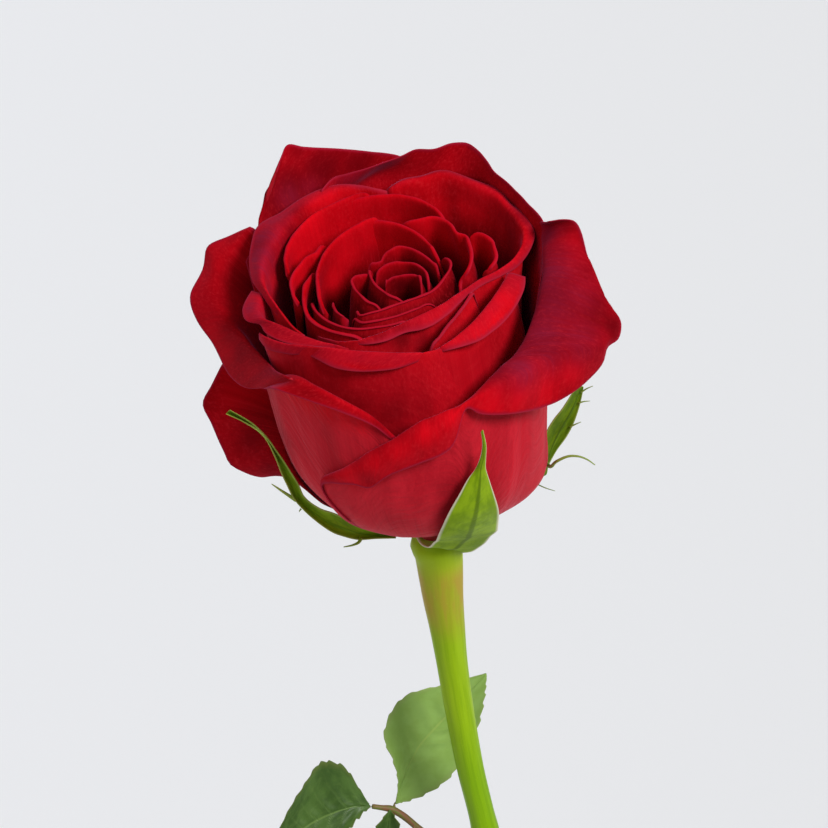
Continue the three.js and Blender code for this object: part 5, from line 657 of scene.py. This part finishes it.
def petal_grid(p, m, width, seed, roll, kv=(0, .08, .16, .25, .35, .5, .65, .8, .92), body_step=1.5, lip_step=0.35):
    rows = [np.asarray(r, float) for r in p["rows"]]
    if rows[0][0][0] > rows[0][-1][0]:
        rows = [r[::-1] for r in rows]
    par = stations(rows)
    u = np.linspace(0, 1, m)
    R = [spline(r, q, u) for r, q in zip(rows, par)]
    R0 = R[0]
    if len(R) == 1 and roll > 0:
        # the rim rolls outward: a crest and a short turned-down lip, fading out toward both sides
        C0 = place(R0[:, 0], R0[:, 1], R0[:, 2])
        t = np.radians(R0[:, 0])
        along = np.gradient(C0, axis=0)
        along /= np.maximum(np.linalg.norm(along, axis=1, keepdims=True), 1e-9)
        outw = np.stack([np.cos(t), np.sin(t), 0 * t], -1)
        outw -= along * (outw * along).sum(1, keepdims=True)
        outw /= np.maximum(np.linalg.norm(outw, axis=1, keepdims=True), 1e-9)
        upw = np.array([0, 0, 1.0]) - along * along[:, 2:3]
        upw /= np.maximum(np.linalg.norm(upw, axis=1, keepdims=True), 1e-9)
        a = (roll * (1 + 0.35 * wave(u * width * 0.3, 0 * u, seed, 2)) * np.clip(np.minimum(u, 1 - u) * width / 3.5, 0.15, 1))[:, None]
        rolled = [C0, C0 + outw * a * 0.8 - upw * a * 0.12, C0 + outw * a * 1.3 - upw * a * 0.75]
    else:
        rolled = [place(r[:, 0], r[:, 1], r[:, 2]) for r in R]
    key = []
    for v in kv:
        h = p["foot"] + (R0[:, 2] - p["foot"]) * v
        F = p["narrow"] + (1 - p["narrow"]) * np.sin(np.pi / 2 * np.minimum(1, (h - p["foot"]) / p["full"]))
        uu = 0.5 + (u - 0.5) * F
        th, s0 = np.interp(uu, u, R0[:, 0]), np.interp(uu, u, R0[:, 1])
        over = s0 - p["body"]
        s = p["body"] + over * np.where(over > 0, v**max(4, p["turn"]), v**p["turn"])
        s = np.where(s < 1, np.clip(s, 1e-3, None)**(1 + 3 * np.clip(1 - h / CLAW_H, 0, None)), s)
        key.append(place(th, s, h))
    key += rolled
    K = np.array(key)                                   # rows x columns x 3
    seg = np.linalg.norm(np.diff(K, axis=0), axis=-1)   # rows-1 x columns
    mean = seg.mean(1)
    nb = len(kv)
    counts = [max(2, int(round(l / (body_step if i < nb - 1 else lip_step)))) for i, l in enumerate(mean)]
    pr = np.maximum(seg, 0.25 * mean[:, None]) ** 0.75
    cp = np.concatenate([np.zeros((1, m)), np.cumsum(pr, axis=0)])
    out = []
    w = np.diff(cp, axis=0)[..., None]
    d = np.diff(K, axis=0) / w
    T = np.empty_like(K)
    T[0], T[-1] = d[0], d[-1]
    T[1:-1] = (d[:-1] * w[1:] + d[1:] * w[:-1]) / (w[1:] + w[:-1])
    for i, c in enumerate(counts):
        for q in range(c):
            t = q / c
            out.append((2 * t**3 - 3 * t * t + 1) * K[i] + (t**3 - 2 * t * t + t) * T[i] * w[i]
                       + (3 * t * t - 2 * t**3) * K[i + 1] + (t**3 - t * t) * T[i + 1] * w[i])
    out.append(K[-1])
    return np.array(out), sum(counts[:nb + len(R) - 2]) if len(R) > 1 else None


ROLL = dict(guard_back_left=0.5, guard_back_right=0.6, guard_low=0.5)


def petal(name, p, seed):
    guard, cup = name.startswith("guard"), name.startswith("cup")
    r0 = np.asarray(p["rows"][0], float)
    width = lengths(place(r0[:, 0], r0[:, 1], r0[:, 2]))[-1]
    m = int(np.clip(width / 0.62, 40, 150))
    G, crest = petal_grid(p, m, width, seed, ROLL.get(name, 0.16 if name.startswith("heart") else 0.24))
    n = G.shape[0]
    # distance from the rim down each column, distance along the petal's width
    seg = np.linalg.norm(np.diff(G, axis=0), axis=-1)
    V = np.concatenate([np.cumsum(seg[::-1], axis=0)[::-1], np.zeros((1, m))])
    U = np.linspace(0, 1, m) * width
    fold = V - V[crest] if crest is not None and "back" not in name else V + 30.0
    side = np.minimum(U, width - U)
    N, du, dv = grid_normals(G)
    N = smooth_normals(N, 2)
    # the petal's own gentle unevenness, none at the very edge and at the foot
    amp = (0.42 if guard else 0.32 if cup else 0.18)
    keep = np.clip(V / 9.0, 0, 1) * np.clip(side / 6.0, 0, 1)[None, :] * np.clip((G[..., 2] - 10) / 18.0, 0, 1)
    uneven = wave(U[None, :] * 0.34 + 0 * V, V * 0.10, seed * 7 + 3, 3)
    G = G + N * (uneven * amp * keep)[..., None]
    # fine ripples of the edge
    rim = np.exp(-V / 1.6) * np.clip(side / 3.0, 0, 1)[None, :]
    rp = wave(U[None, :] * 0.9 + 0 * V, V * 0.0, seed * 5 + 1, 2)
    G = G + N * (rp * 0.12 * rim)[..., None]
    R = head_r(G[..., 2])
    T = 0.42 * np.clip(R / 28.0, 0.45, 1) * np.clip(0.55 + V / 7.0, 0, 1)
    W = to_world(G)
    # painted shade, painted light and the bluish bloom with a painted sheen, kept as numbers on the points
    tint = {}
    for kind in ("bloom", "shade", "glow"):
        tint[kind] = np.zeros_like(V)
        for x, y, z, reach, amount in PATCHES.get(name, {}).get(kind, []):
            tint[kind] = np.maximum(tint[kind], amount * np.exp(-(((W - (x, y, z)) / reach)**2).sum(-1)))
    b = Build()
    att = dict(pu=np.broadcast_to(U[None, :], V.shape).copy(), down=V.copy(), fold=fold.copy(), pv=np.minimum(V, side[None, :] + 0 * V), seed=np.full_like(V, seed * 13.7), hgt=G[..., 2], **tint)
    sheet_mesh(b, W, T, att, mats=(0, 1, 1))
    kind = name.split("_")[0]
    ob = b.make(name + "_petal", [RED[kind + "_out"], RED[kind + "_in"]])
    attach(ob, "root")
    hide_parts(name)
    return ob


for number, (name, p) in enumerate(PETALS.items()):
    petal(name, p, number + 1)


# ------------------------------------------------------------------ green parts
def green_material(name, base, second, edge_col, rib, under, spec, rough, sheen=0.0, coat=0.0, rib_w=0.09, vein_amt=0.4, bump=0.3):
    """Leaf and sepal faces: pu runs from -1 to 1 across, pv in mm along, vein is 1 on the veins; under colours the second face."""
    m, nt, bs = new_mat(name)
    k = Net(nt)
    setup(bs, rough=rough, spec=spec, sheen=sheen, sheen_rough=0.5, sheen_tint=(0.9, 1.0, 0.75, 1), coat=coat, coat_rough=0.25)
    U, V, S, E, D, W = k.attr("pu"), k.attr("pv"), k.attr("seed"), k.attr("edge"), k.attr("side"), k.attr("vein")
    A = k.math("ABSOLUTE", U)
    broad = k.noise(k.xyz(k.mul(U, 2.0), k.mul(V, 0.2), S), 1.0, 3.0, 0.6)
    fine = k.noise(k.xyz(k.mul(U, 9.0), k.mul(V, 0.35), S), 1.0, 3.0, 0.6)
    grain = k.noise(k.xyz(k.mul(U, 12.0), k.mul(V, 3.0), S), 1.6, 3.0, 0.6)
    col = k.mix(k.remap(broad, 0.35, 0.65), base, second)
    col = k.mix(k.mul(k.remap(fine, 0.5, 0.72), vein_amt * 0.6), col, rib)
    col = k.mix(k.mul(W, vein_amt), col, rib)
    col = k.mix(k.mul(k.remap(A, rib_w, rib_w * 0.3), 0.8), col, rib)
    col = k.mix(k.mul(k.remap(grain, 0.5, 0.8), 0.15), col, second)
    col = k.mix(k.mul(k.sub(1.0, D), 1.0), col, k.mix(k.remap(grain, 0.4, 0.7), under, k.mix(0.25, under, rib)))
    col = k.mix(k.mul(k.remap(A, 0.88, 1.0), 0.85), col, edge_col)
    k.put(bs.inputs["Base Color"], col)
    hb = k.addv(k.mul(W, -1.0), k.addv(k.mul(fine, 0.5), k.mul(grain, 0.5)))
    k.put(bs.inputs["Normal"], k.bump(hb, bump, 0.25))
    return m


SEPAL_MAT = green_material("sepal_green", rgb(108, 138, 12), rgb(82, 112, 4), rgb(150, 168, 76), rgb(66, 90, 4), rgb(134, 160, 40), 0.08, 0.6, sheen=0.03, rib_w=0.12, vein_amt=0.3)
# a lightened copy of the sepal green for the left sepals: painted light on faces turned away from the lamps
SEPAL_PAINTED_LIGHT = green_material("sepal_painted_light", rgb(134, 164, 20), rgb(106, 136, 10), rgb(164, 178, 84), rgb(98, 132, 8), rgb(160, 188, 52), 0.08, 0.6, sheen=0.03, rib_w=0.12, vein_amt=0.3)
SEPAL_DOWN = green_material("sepal_down", rgb(144, 176, 18), rgb(118, 150, 8), rgb(230, 220, 200), rgb(86, 114, 4), rgb(166, 190, 62), 0.06, 0.7, sheen=0.08, rib_w=0.13, vein_amt=0.25)


def across(rails, t):
    """A curve through the left, middle and right rail at t from -1 to 1."""
    L, M, R = (np.asarray(r, float)[:, None, :] for r in rails)
    t = t[None, :, None]
    return L * (t * t - t) / 2 + M * (1 - t * t) + R * (t * t + t) / 2


def cone(b, a, c, r, seed=0.0, side_val=1.0, tip=0.15, mid=None):
    a, c = np.asarray(a, float), np.asarray(c, float)
    mid = (a + c) / 2 if mid is None else np.asarray(mid, float)
    tube(b, [[*a, r], [*mid, r * (1 + tip) / 2], [*c, r * tip]], sides=8, per=4, att=dict(seed=seed, vein=0.0), side_val=side_val)


def sepal(name, rails, seed, front=False):
    t = np.linspace(-1, 1, 17)
    S = across(rails, t)
    c = lengths(np.asarray(rails[1], float))
    x = np.linspace(0, c[-1], int(c[-1] / 0.5) + 1)
    G = spline(S, c, x)
    N, du, dv = grid_normals(G)
    radial = G[..., :2].mean((0, 1))
    if (N[..., :2].mean((0, 1)) @ radial) < 0:
        G = G[:, ::-1]
    N, du, dv = grid_normals(G)
    n, m = G.shape[:2]
    V = np.broadcast_to(x[:, None], (n, m))
    W = np.broadcast_to(t[None, :], (n, m))
    half = np.linalg.norm(G[:, -1] - G[:, 0], axis=-1) / 2
    rib = np.exp(-(W / 0.16)**2) * np.clip(half[:, None] / 3.0, 0, 1)
    G = G + N * (0.22 * rib)[..., None]
    G = G + N * (wave(W * 2.2, V * 0.35, seed * 3 + 2, 2) * 0.14 * np.clip(half[:, None] / 4.0, 0, 1))[..., None]
    T = (0.62 - 0.38 * np.abs(W)**2) * np.clip(0.35 + (c[-1] - V) / 8, 0, 1)
    b = Build()
    # side veins leave the midrib toward the tip
    ph = (V - 3.2 * np.abs(W) * np.clip(half[:, None] / 3, 0.3, 1)) / 2.6
    vein = np.clip(1 - np.abs((ph % 1) - 0.5) * 7, 0, 1) * np.clip(1 - np.abs(W), 0, 1)
    sheet_mesh(b, to_world(G), T, dict(pu=W.copy(), pv=V.copy(), seed=np.full((n, m), seed * 3.1), vein=vein), mats=(0, 0, 0))
    for path in PRONGS.get(name, []):
        q = to_world(np.asarray(path, float))
        r = 0.46 * (1 - np.linspace(0, 1, len(q)) * 0.78)
        tube(b, np.column_stack([q, r]), sides=10, per=6, att=dict(seed=seed * 1.0, vein=0.0))
    for path in HAIRS.get(name, []):
        q = to_world(np.asarray(path, float))
        r = 0.2 * (1 - np.linspace(0, 1, len(q)) * 0.7)
        tube(b, np.column_stack([q, r]), sides=8, per=5, att=dict(seed=seed * 1.0, vein=0.0))
    ob = b.make(name + "_blade", [SEPAL_DOWN if front else SEPAL_PAINTED_LIGHT if name.endswith("left") else SEPAL_MAT])
    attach(ob, "root")
    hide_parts(name)
    return ob


for number, (name, rails) in enumerate(SEPALS.items()):
    sepal(name, rails, number + 1, front=name == "sepal_front")

# stem: waxy light green, a brownish flush under the head, thicker at the top
m_stem, nt, bs = new_mat("stem_green")
k = Net(nt)
setup(bs, rough=0.5, spec=0.12)
U, V, Z = k.attr("pu"), k.attr("pv"), k.attr("hgt")
cosu, sinu = k.math("COSINE", U), k.math("SINE", U)
streak = k.noise(k.xyz(k.mul(cosu, 5.0), k.mul(sinu, 5.0), k.mul(V, 0.05)), 1.0, 3.0, 0.6)
blot = k.noise(k.xyz(k.mul(cosu, 1.2), k.mul(sinu, 1.2), k.mul(V, 0.07)), 1.0, 3.0, 0.55)
speck = k.noise(k.xyz(k.mul(cosu, 9.0), k.mul(sinu, 9.0), k.mul(V, 1.1)), 1.2, 2.0, 0.6)
col = k.mix(k.remap(streak, 0.38, 0.66), rgb(156, 190, 14), rgb(141, 177, 8))
col = k.mix(k.remap(Z, 262.0, 232.0), col, k.mix(k.remap(streak, 0.4, 0.66), rgb(134, 177, 5), rgb(122, 165, 3)))
flush = k.mul(k.remap(Z, 272.0, 284.0), k.remap(Z, 298.0, 290.0))
col = k.mix(k.mul(flush, k.remap(blot, 0.3, 0.6, 0.45, 0.95)), col, rgb(178, 152, 50))
col = k.mix(k.mul(k.remap(Z, 289.0, 296.0), 0.7), col, rgb(160, 186, 24))
col = k.mix(k.mul(k.remap(Z, 168.0, 120.0), 0.6), col, rgb(96, 128, 20))
col = k.mix(k.mul(k.remap(speck, 0.6, 0.75), 0.18), col, rgb(180, 206, 60))
k.put(bs.inputs["Base Color"], col)
k.put(bs.inputs["Normal"], k.bump(k.addv(k.mul(streak, 1.0), k.mul(speck, 0.4)), 0.12, 0.2))
k.put(bs.inputs["Roughness"], k.remap(streak, 0.3, 0.7, 0.36, 0.5))


def down(q, r):
    return [*to_world(np.array([0.0, 0.0, q])), r]


STEM_LOW = [[-5.6, -7.2, 190, 2.78], [-3.3, -3.9, 160, 2.78], [-0.6, -0.4, 128, 2.78], [3.4, 4.2, 92, 2.8], [8.6, 9.6, 52, 2.82], [14.4, 15.3, 13.5, 2.85]]
stem_path = [down(4.4, 0.25), down(3.4, 0.8), down(1.6, 1.7), down(0.4, 2.8), down(-0.2, 4.5), down(-1.3, 5.1)] + [list(q) for q in STEM_TOP] + STEM_LOW
# three old leaf scars ringing the stem, and the swelling where the leaf leaves it
SCARS = [(219.0, 0.10, 4.0), (186.0, 0.09, 3.0), (120.0, 0.08, 3.0), (70.0, 0.08, 3.0)]


def stem_shape(t, ang, P):
    r = 1 + 0.012 * np.sin(5 * ang + P[2] * 0.03) + 0.008 * np.sin(9 * ang + P[2] * 0.11)
    for z, a, w in SCARS:
        r = r + a * np.exp(-((P[2] - z) / w)**2)
    return r


b = Build()
tube(b, stem_path, sides=40, per=9, att=dict(seed=0.0, vein=0.0), bulge=stem_shape)
z = np.concatenate(b.co)[:, 2]
b.att["hgt"] = [(0, z)]
stem = b.make("stem_stalk", [m_stem])
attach(stem, "root")
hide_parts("stem")

# leaf stalk: reddish brown above, with a prickle and the short stalks of the leaflets
m_stalk, nt, bs = new_mat("leaf_stalk_brown")
k = Net(nt)
setup(bs, rough=0.5, spec=0.3)
n1 = k.noise(k.xyz(k.mul(k.math("COSINE", k.attr("pu")), 2.0), k.mul(k.math("SINE", k.attr("pu")), 2.0), k.mul(k.attr("pv"), 0.25)), 1.2, 3.0, 0.6)
k.put(bs.inputs["Base Color"], k.mix(k.remap(n1, 0.4, 0.62), rgb(132, 84, 62), rgb(104, 112, 48)))
k.put(bs.inputs["Normal"], k.bump(n1, 0.3, 0.15))
b = Build()
STALK = [[-10.9, -9.7, 206.2, 1.25], [-13.2, -8.6, 208.2, 0.95], [-17.6, -6.8, 212.2, 0.8], [-23.2, -5.2, 216.4, 0.75], [-27.2, -5, 220.0, 0.8], [-29.2, -5.1, 221.3, 0.8], [-31.2, -5.5, 221.9, 0.6], [-33.2, -5.9, 222.5, 0.55]]
tube(b, STALK, sides=20, per=8, att=dict(seed=0.0, vein=0.0))
for a, c, r in (([-24.0, -5.4, 217.2], [-24.3, -7.4, 215.6], 0.5), ([-18.4, -6.9, 212.6], [-18.0, -8.6, 210.9], 0.42), ([-28.6, -5.0, 221.2], [-28.3, -4.4, 222.6], 0.5), ([-29.3, -5.2, 221.2], [-29.4, -5.9, 220.6], 0.45)):
    cone(b, a, c, r)
stalk = b.make("leaf_stalk_wood", [m_stalk])
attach(stalk, "root")
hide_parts("leaf_stalk")

LEAF_PALE = green_material("leaf_underside", rgb(146, 180, 94), rgb(138, 171, 84), rgb(146, 170, 96), rgb(154, 180, 92), rgb(76, 104, 48), 0.1, 0.7, rib_w=0.04, vein_amt=0.22, bump=0.15)
LEAF_DARK = green_material("leaf_topside", rgb(74, 104, 42), rgb(56, 84, 30), rgb(88, 104, 46), rgb(102, 130, 62), rgb(130, 158, 90), 0.3, 0.45, coat=0.08, rib_w=0.04, vein_amt=0.35)


def leaflet(name, rails, seed, mat, teeth, facing, curl=0.0):
    t = np.linspace(-1, 1, 41)
    c = lengths(np.asarray(rails[1], float))
    x = np.linspace(0, c[-1], int(c[-1] / 0.28) + 1)
    G = spline(across(rails, t), c, x)
    n, m = G.shape[:2]
    V = np.broadcast_to(x[:, None], (n, m)).copy()
    W = np.broadcast_to(t[None, :], (n, m)).copy()
    s = V / c[-1]
    # saw teeth that lean toward the tip
    ph = s * teeth
    saw = (ph % 1.0)
    saw = np.where(saw < 0.78, saw / 0.78, (1 - saw) / 0.22)
    grow = np.abs(W)**6 * (saw - 0.35) * (0.42 if name == "leaflet_upper" else 0.65) * np.clip(s * 8, 0, 1) * np.clip((1 - s) * 7, 0, 1)
    cent = G[:, m // 2][:, None, :]
    out = G - cent
    ol = np.maximum(np.linalg.norm(out, axis=-1, keepdims=True), 1e-6)
    G = G + out / ol * grow[..., None]
    N, du, dv = grid_normals(G)
    N = smooth_normals(N, 2)
    if (N.mean((0, 1)) @ np.asarray(facing, float)) < 0:
        G, W, V, saw = G[:, ::-1], W[:, ::-1], V[:, ::-1], saw[:, ::-1]
        N, du, dv = grid_normals(G)
        N = smooth_normals(N, 2)
    # side veins, and the blade rising between them
    half = np.linalg.norm(G[:, -1] - G[:, 0], axis=-1)[:, None] / 2
    q = (V - np.abs(W) * half * 0.75) / (c[-1] / 8.5)
    near = np.abs((q % 1) - 0.5)
    vein = np.clip(1 - near * 11, 0, 1) * np.clip(1.05 - np.abs(W), 0, 1)
    puff = np.cos(2 * np.pi * q) * 0.16 * np.clip(half / 5, 0, 1) * np.clip(1 - np.abs(W), 0, 1) * np.clip(np.abs(W) * 5, 0, 1)
    rib = np.exp(-(W / 0.05)**2) * 0.25
    G = G - N * (puff + rib)[..., None] + N * (wave(W * 2.0, V * 0.3, seed * 11, 2) * 0.25)[..., None]
    T = 0.3 * (1.2 - 0.55 * np.abs(W))
    b = Build()
    sheet_mesh(b, G, T, dict(pu=W.copy(), pv=V.copy(), seed=np.full((n, m), seed * 2.3), vein=vein), mats=(0, 0, 0))
    ob = b.make(name + "_blade", [mat])
    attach(ob, "root")
    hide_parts(name)
    return ob


leaflet("leaflet_upper", LEAFLETS["leaflet_upper"], 1, LEAF_PALE, 13, (0.2, -1, 0.3))
leaflet("leaflet_tip", LEAFLETS["leaflet_tip"], 2, LEAF_DARK, 12, (-0.3, -0.6, 1))
leaflet("leaflet_lower", LEAFLETS["leaflet_lower"], 3, LEAF_DARK, 13, (0, -1, 0.6))

# ------------------------------------------------------------------ the vase
VASE_OUT = [[23.5, 0], [25.2, 0.9], [29.6, 6.5], [33.8, 15], [36.8, 27], [37.4, 40], [35.6, 54], [31, 69], [24.4, 85], [18.2, 100], [13.9, 115], [12.1, 130], [11.8, 142], [12.6, 152], [14.2, 158.2]]
VASE_LIP = [[14.0, 159.6], [12.9, 160], [11.4, 159.5]]
VASE_IN = [[9.8, 152], [9.0, 142], [9.2, 130], [10.9, 115], [15.0, 101], [21.2, 86], [27.8, 70.5], [32.4, 55], [34.2, 41], [33.6, 28], [30.6, 16.5], [26.4, 9.6], [20, 6.6], [8, 6.05]]
m_vase, nt, bs = new_mat("vase_glaze")
k = Net(nt)
setup(bs, rough=0.28, spec=0.5, coat=0.7, coat_rough=0.08)
tc = k.node("ShaderNodeTexCoord").outputs["Object"]
soft = k.noise(tc, 22.0, 3.0, 0.55)
speck = k.noise(tc, 900.0, 2.0, 0.5)
big = k.noise(tc, 60.0, 2.0, 0.5)
col = k.mix(k.remap(soft, 0.35, 0.65), rgb(238, 236, 230), rgb(230, 227, 219))
col = k.mix(k.mul(k.remap(speck, 0.66, 0.74), 0.35), col, rgb(186, 176, 160))
hz = k.attr("hgt")
col = k.mix(k.remap(hz, 1.6, 0.6), col, rgb(214, 204, 188))
col = k.mix(k.mul(k.remap(hz, 158.4, 159.6), 0.35), col, rgb(216, 206, 190))
k.put(bs.inputs["Base Color"], col)
k.put(bs.inputs["Roughness"], k.remap(soft, 0.3, 0.7, 0.22, 0.34))
k.put(bs.inputs["Normal"], k.bump(k.addv(big, k.mul(speck, 0.1)), 0.08, 0.4))
prof = np.array(VASE_OUT + VASE_LIP + VASE_IN, float)
c = lengths(prof)
xs = np.concatenate([np.linspace(c[i], c[i + 1], max(2, int((c[i + 1] - c[i]) / 1.6)), endpoint=False) for i in range(len(c) - 1)] + [[c[-1]]])
cur = spline(prof, c, xs)
cur[:, 1] = np.clip(cur[:, 1], 0, 160)
b = Build()
sides = 128
ang = 2 * np.pi * np.arange(sides) / sides
V = np.stack([cur[:, 0, None] * np.cos(ang), cur[:, 0, None] * np.sin(ang), np.repeat(cur[:, 1, None], sides, 1)], -1)
a = b.add(V, hgt=V[..., 2].reshape(-1))
I = np.arange(len(cur) * sides).reshape(len(cur), sides)
J = np.roll(I, -1, axis=1)
b.quads(np.stack([I[:-1], J[:-1], J[1:], I[1:]], -1).reshape(-1, 4) + a)
# the foot: an unglazed ring round a very slightly sunken middle
rings = [(22.4, 0.0), (21.2, 0.0), (20.4, 0.5), (10.0, 0.6)]
prev = a + I[0]
for r, zz in rings:
    nxt = b.add(np.stack([r * np.cos(ang), r * np.sin(ang), np.full(sides, zz)], -1), hgt=zz)
    cur_i = nxt + np.arange(sides)
    b.quads(np.stack([np.roll(prev, -1), prev, cur_i, np.roll(cur_i, -1)], -1))
    prev = cur_i
c0 = b.add([[0, 0, 0.6]], hgt=0.6)
b.tris(np.stack([np.full(sides, c0), np.roll(prev, -1), prev], -1))
c1 = b.add([[0, 0, 6.0]], hgt=6.0)
last = a + I[-1]
b.tris(np.stack([np.full(sides, c1), last, np.roll(last, -1)], -1))
vase = b.make("vase_body", [m_vase])
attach(vase, "root")
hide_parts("vase")

# ------------------------------------------------------------------ stage, light, camera
m_floor, nt, bs = new_mat("stage_pale")
k = Net(nt)
across_x = k.node("ShaderNodeSeparateXYZ")
k.put(across_x.inputs[0], k.node("ShaderNodeTexCoord").outputs["Object"])
# painted light falloff: the floor is paler on the left and darker on the right
pale = k.mix(k.remap(across_x.outputs[0], -0.25, 0.25, smooth=False), (0.885, 0.893, 0.915, 1), (0.855, 0.860, 0.872, 1))
k.put(bs.inputs["Base Color"], k.mix(k.remap(across_x.outputs[1], -0.22, -0.5), pale, (0.2, 0.203, 0.21, 1)))
bs.inputs["Roughness"].default_value = 0.9
bs.inputs["Specular IOR Level"].default_value = 0.1
me = bpy.data.meshes.new("stage_floor")
me.from_pydata([(-6, -6, 0), (6, -6, 0), (6, 6, 0), (-6, 6, 0)], [], [(0, 1, 2, 3)])
me.materials.append(m_floor)
floor = bpy.data.objects.new("stage_floor", me)
bpy.context.scene.collection.objects.link(floor)

w = bpy.data.worlds.new("studio")
w.use_nodes = True
w.node_tree.nodes["Background"].inputs[0].default_value = (0.95, 0.965, 1.0, 1)
w.node_tree.nodes["Background"].inputs[1].default_value = 0.25
bpy.context.scene.world = w


def lamp(name, azimuth, elevation, power, angle, colour=(1, 1, 1)):
    """A broad even light from that direction; azimuth 0 is the viewer's side, 90 the right."""
    l = bpy.data.lights.new(name, "SUN")
    l.energy = power
    l.angle = math.radians(angle)
    l.color = colour
    o = bpy.data.objects.new(name, l)
    a, e = math.radians(azimuth), math.radians(elevation)
    o.rotation_euler = (math.pi / 2 - e, 0, a)
    o.location = (math.sin(a) * math.cos(e), -math.cos(a) * math.cos(e), 0.3 + math.sin(e))
    bpy.context.scene.collection.objects.link(o)
    return o


lamp("key", 44, 40, 2.52, 20)
lamp("fill", -42, 34, 0.45, 50)
lamp("top", 190, 66, 0.3, 50)

cam = bpy.data.cameras.new("camera")
cam.lens = 148.46
cam.sensor_width = 36.0
cam.clip_start = 0.02
co = bpy.data.objects.new("camera", cam)
co.location = (-0.0241, -0.634629469, 0.639529454)
co.rotation_euler = (math.radians(63), 0, 0)
bpy.context.scene.collection.objects.link(co)
bpy.context.scene.camera = co
bpy.context.scene.view_settings.view_transform = "Standard"

bpy.context.view_layer.update()
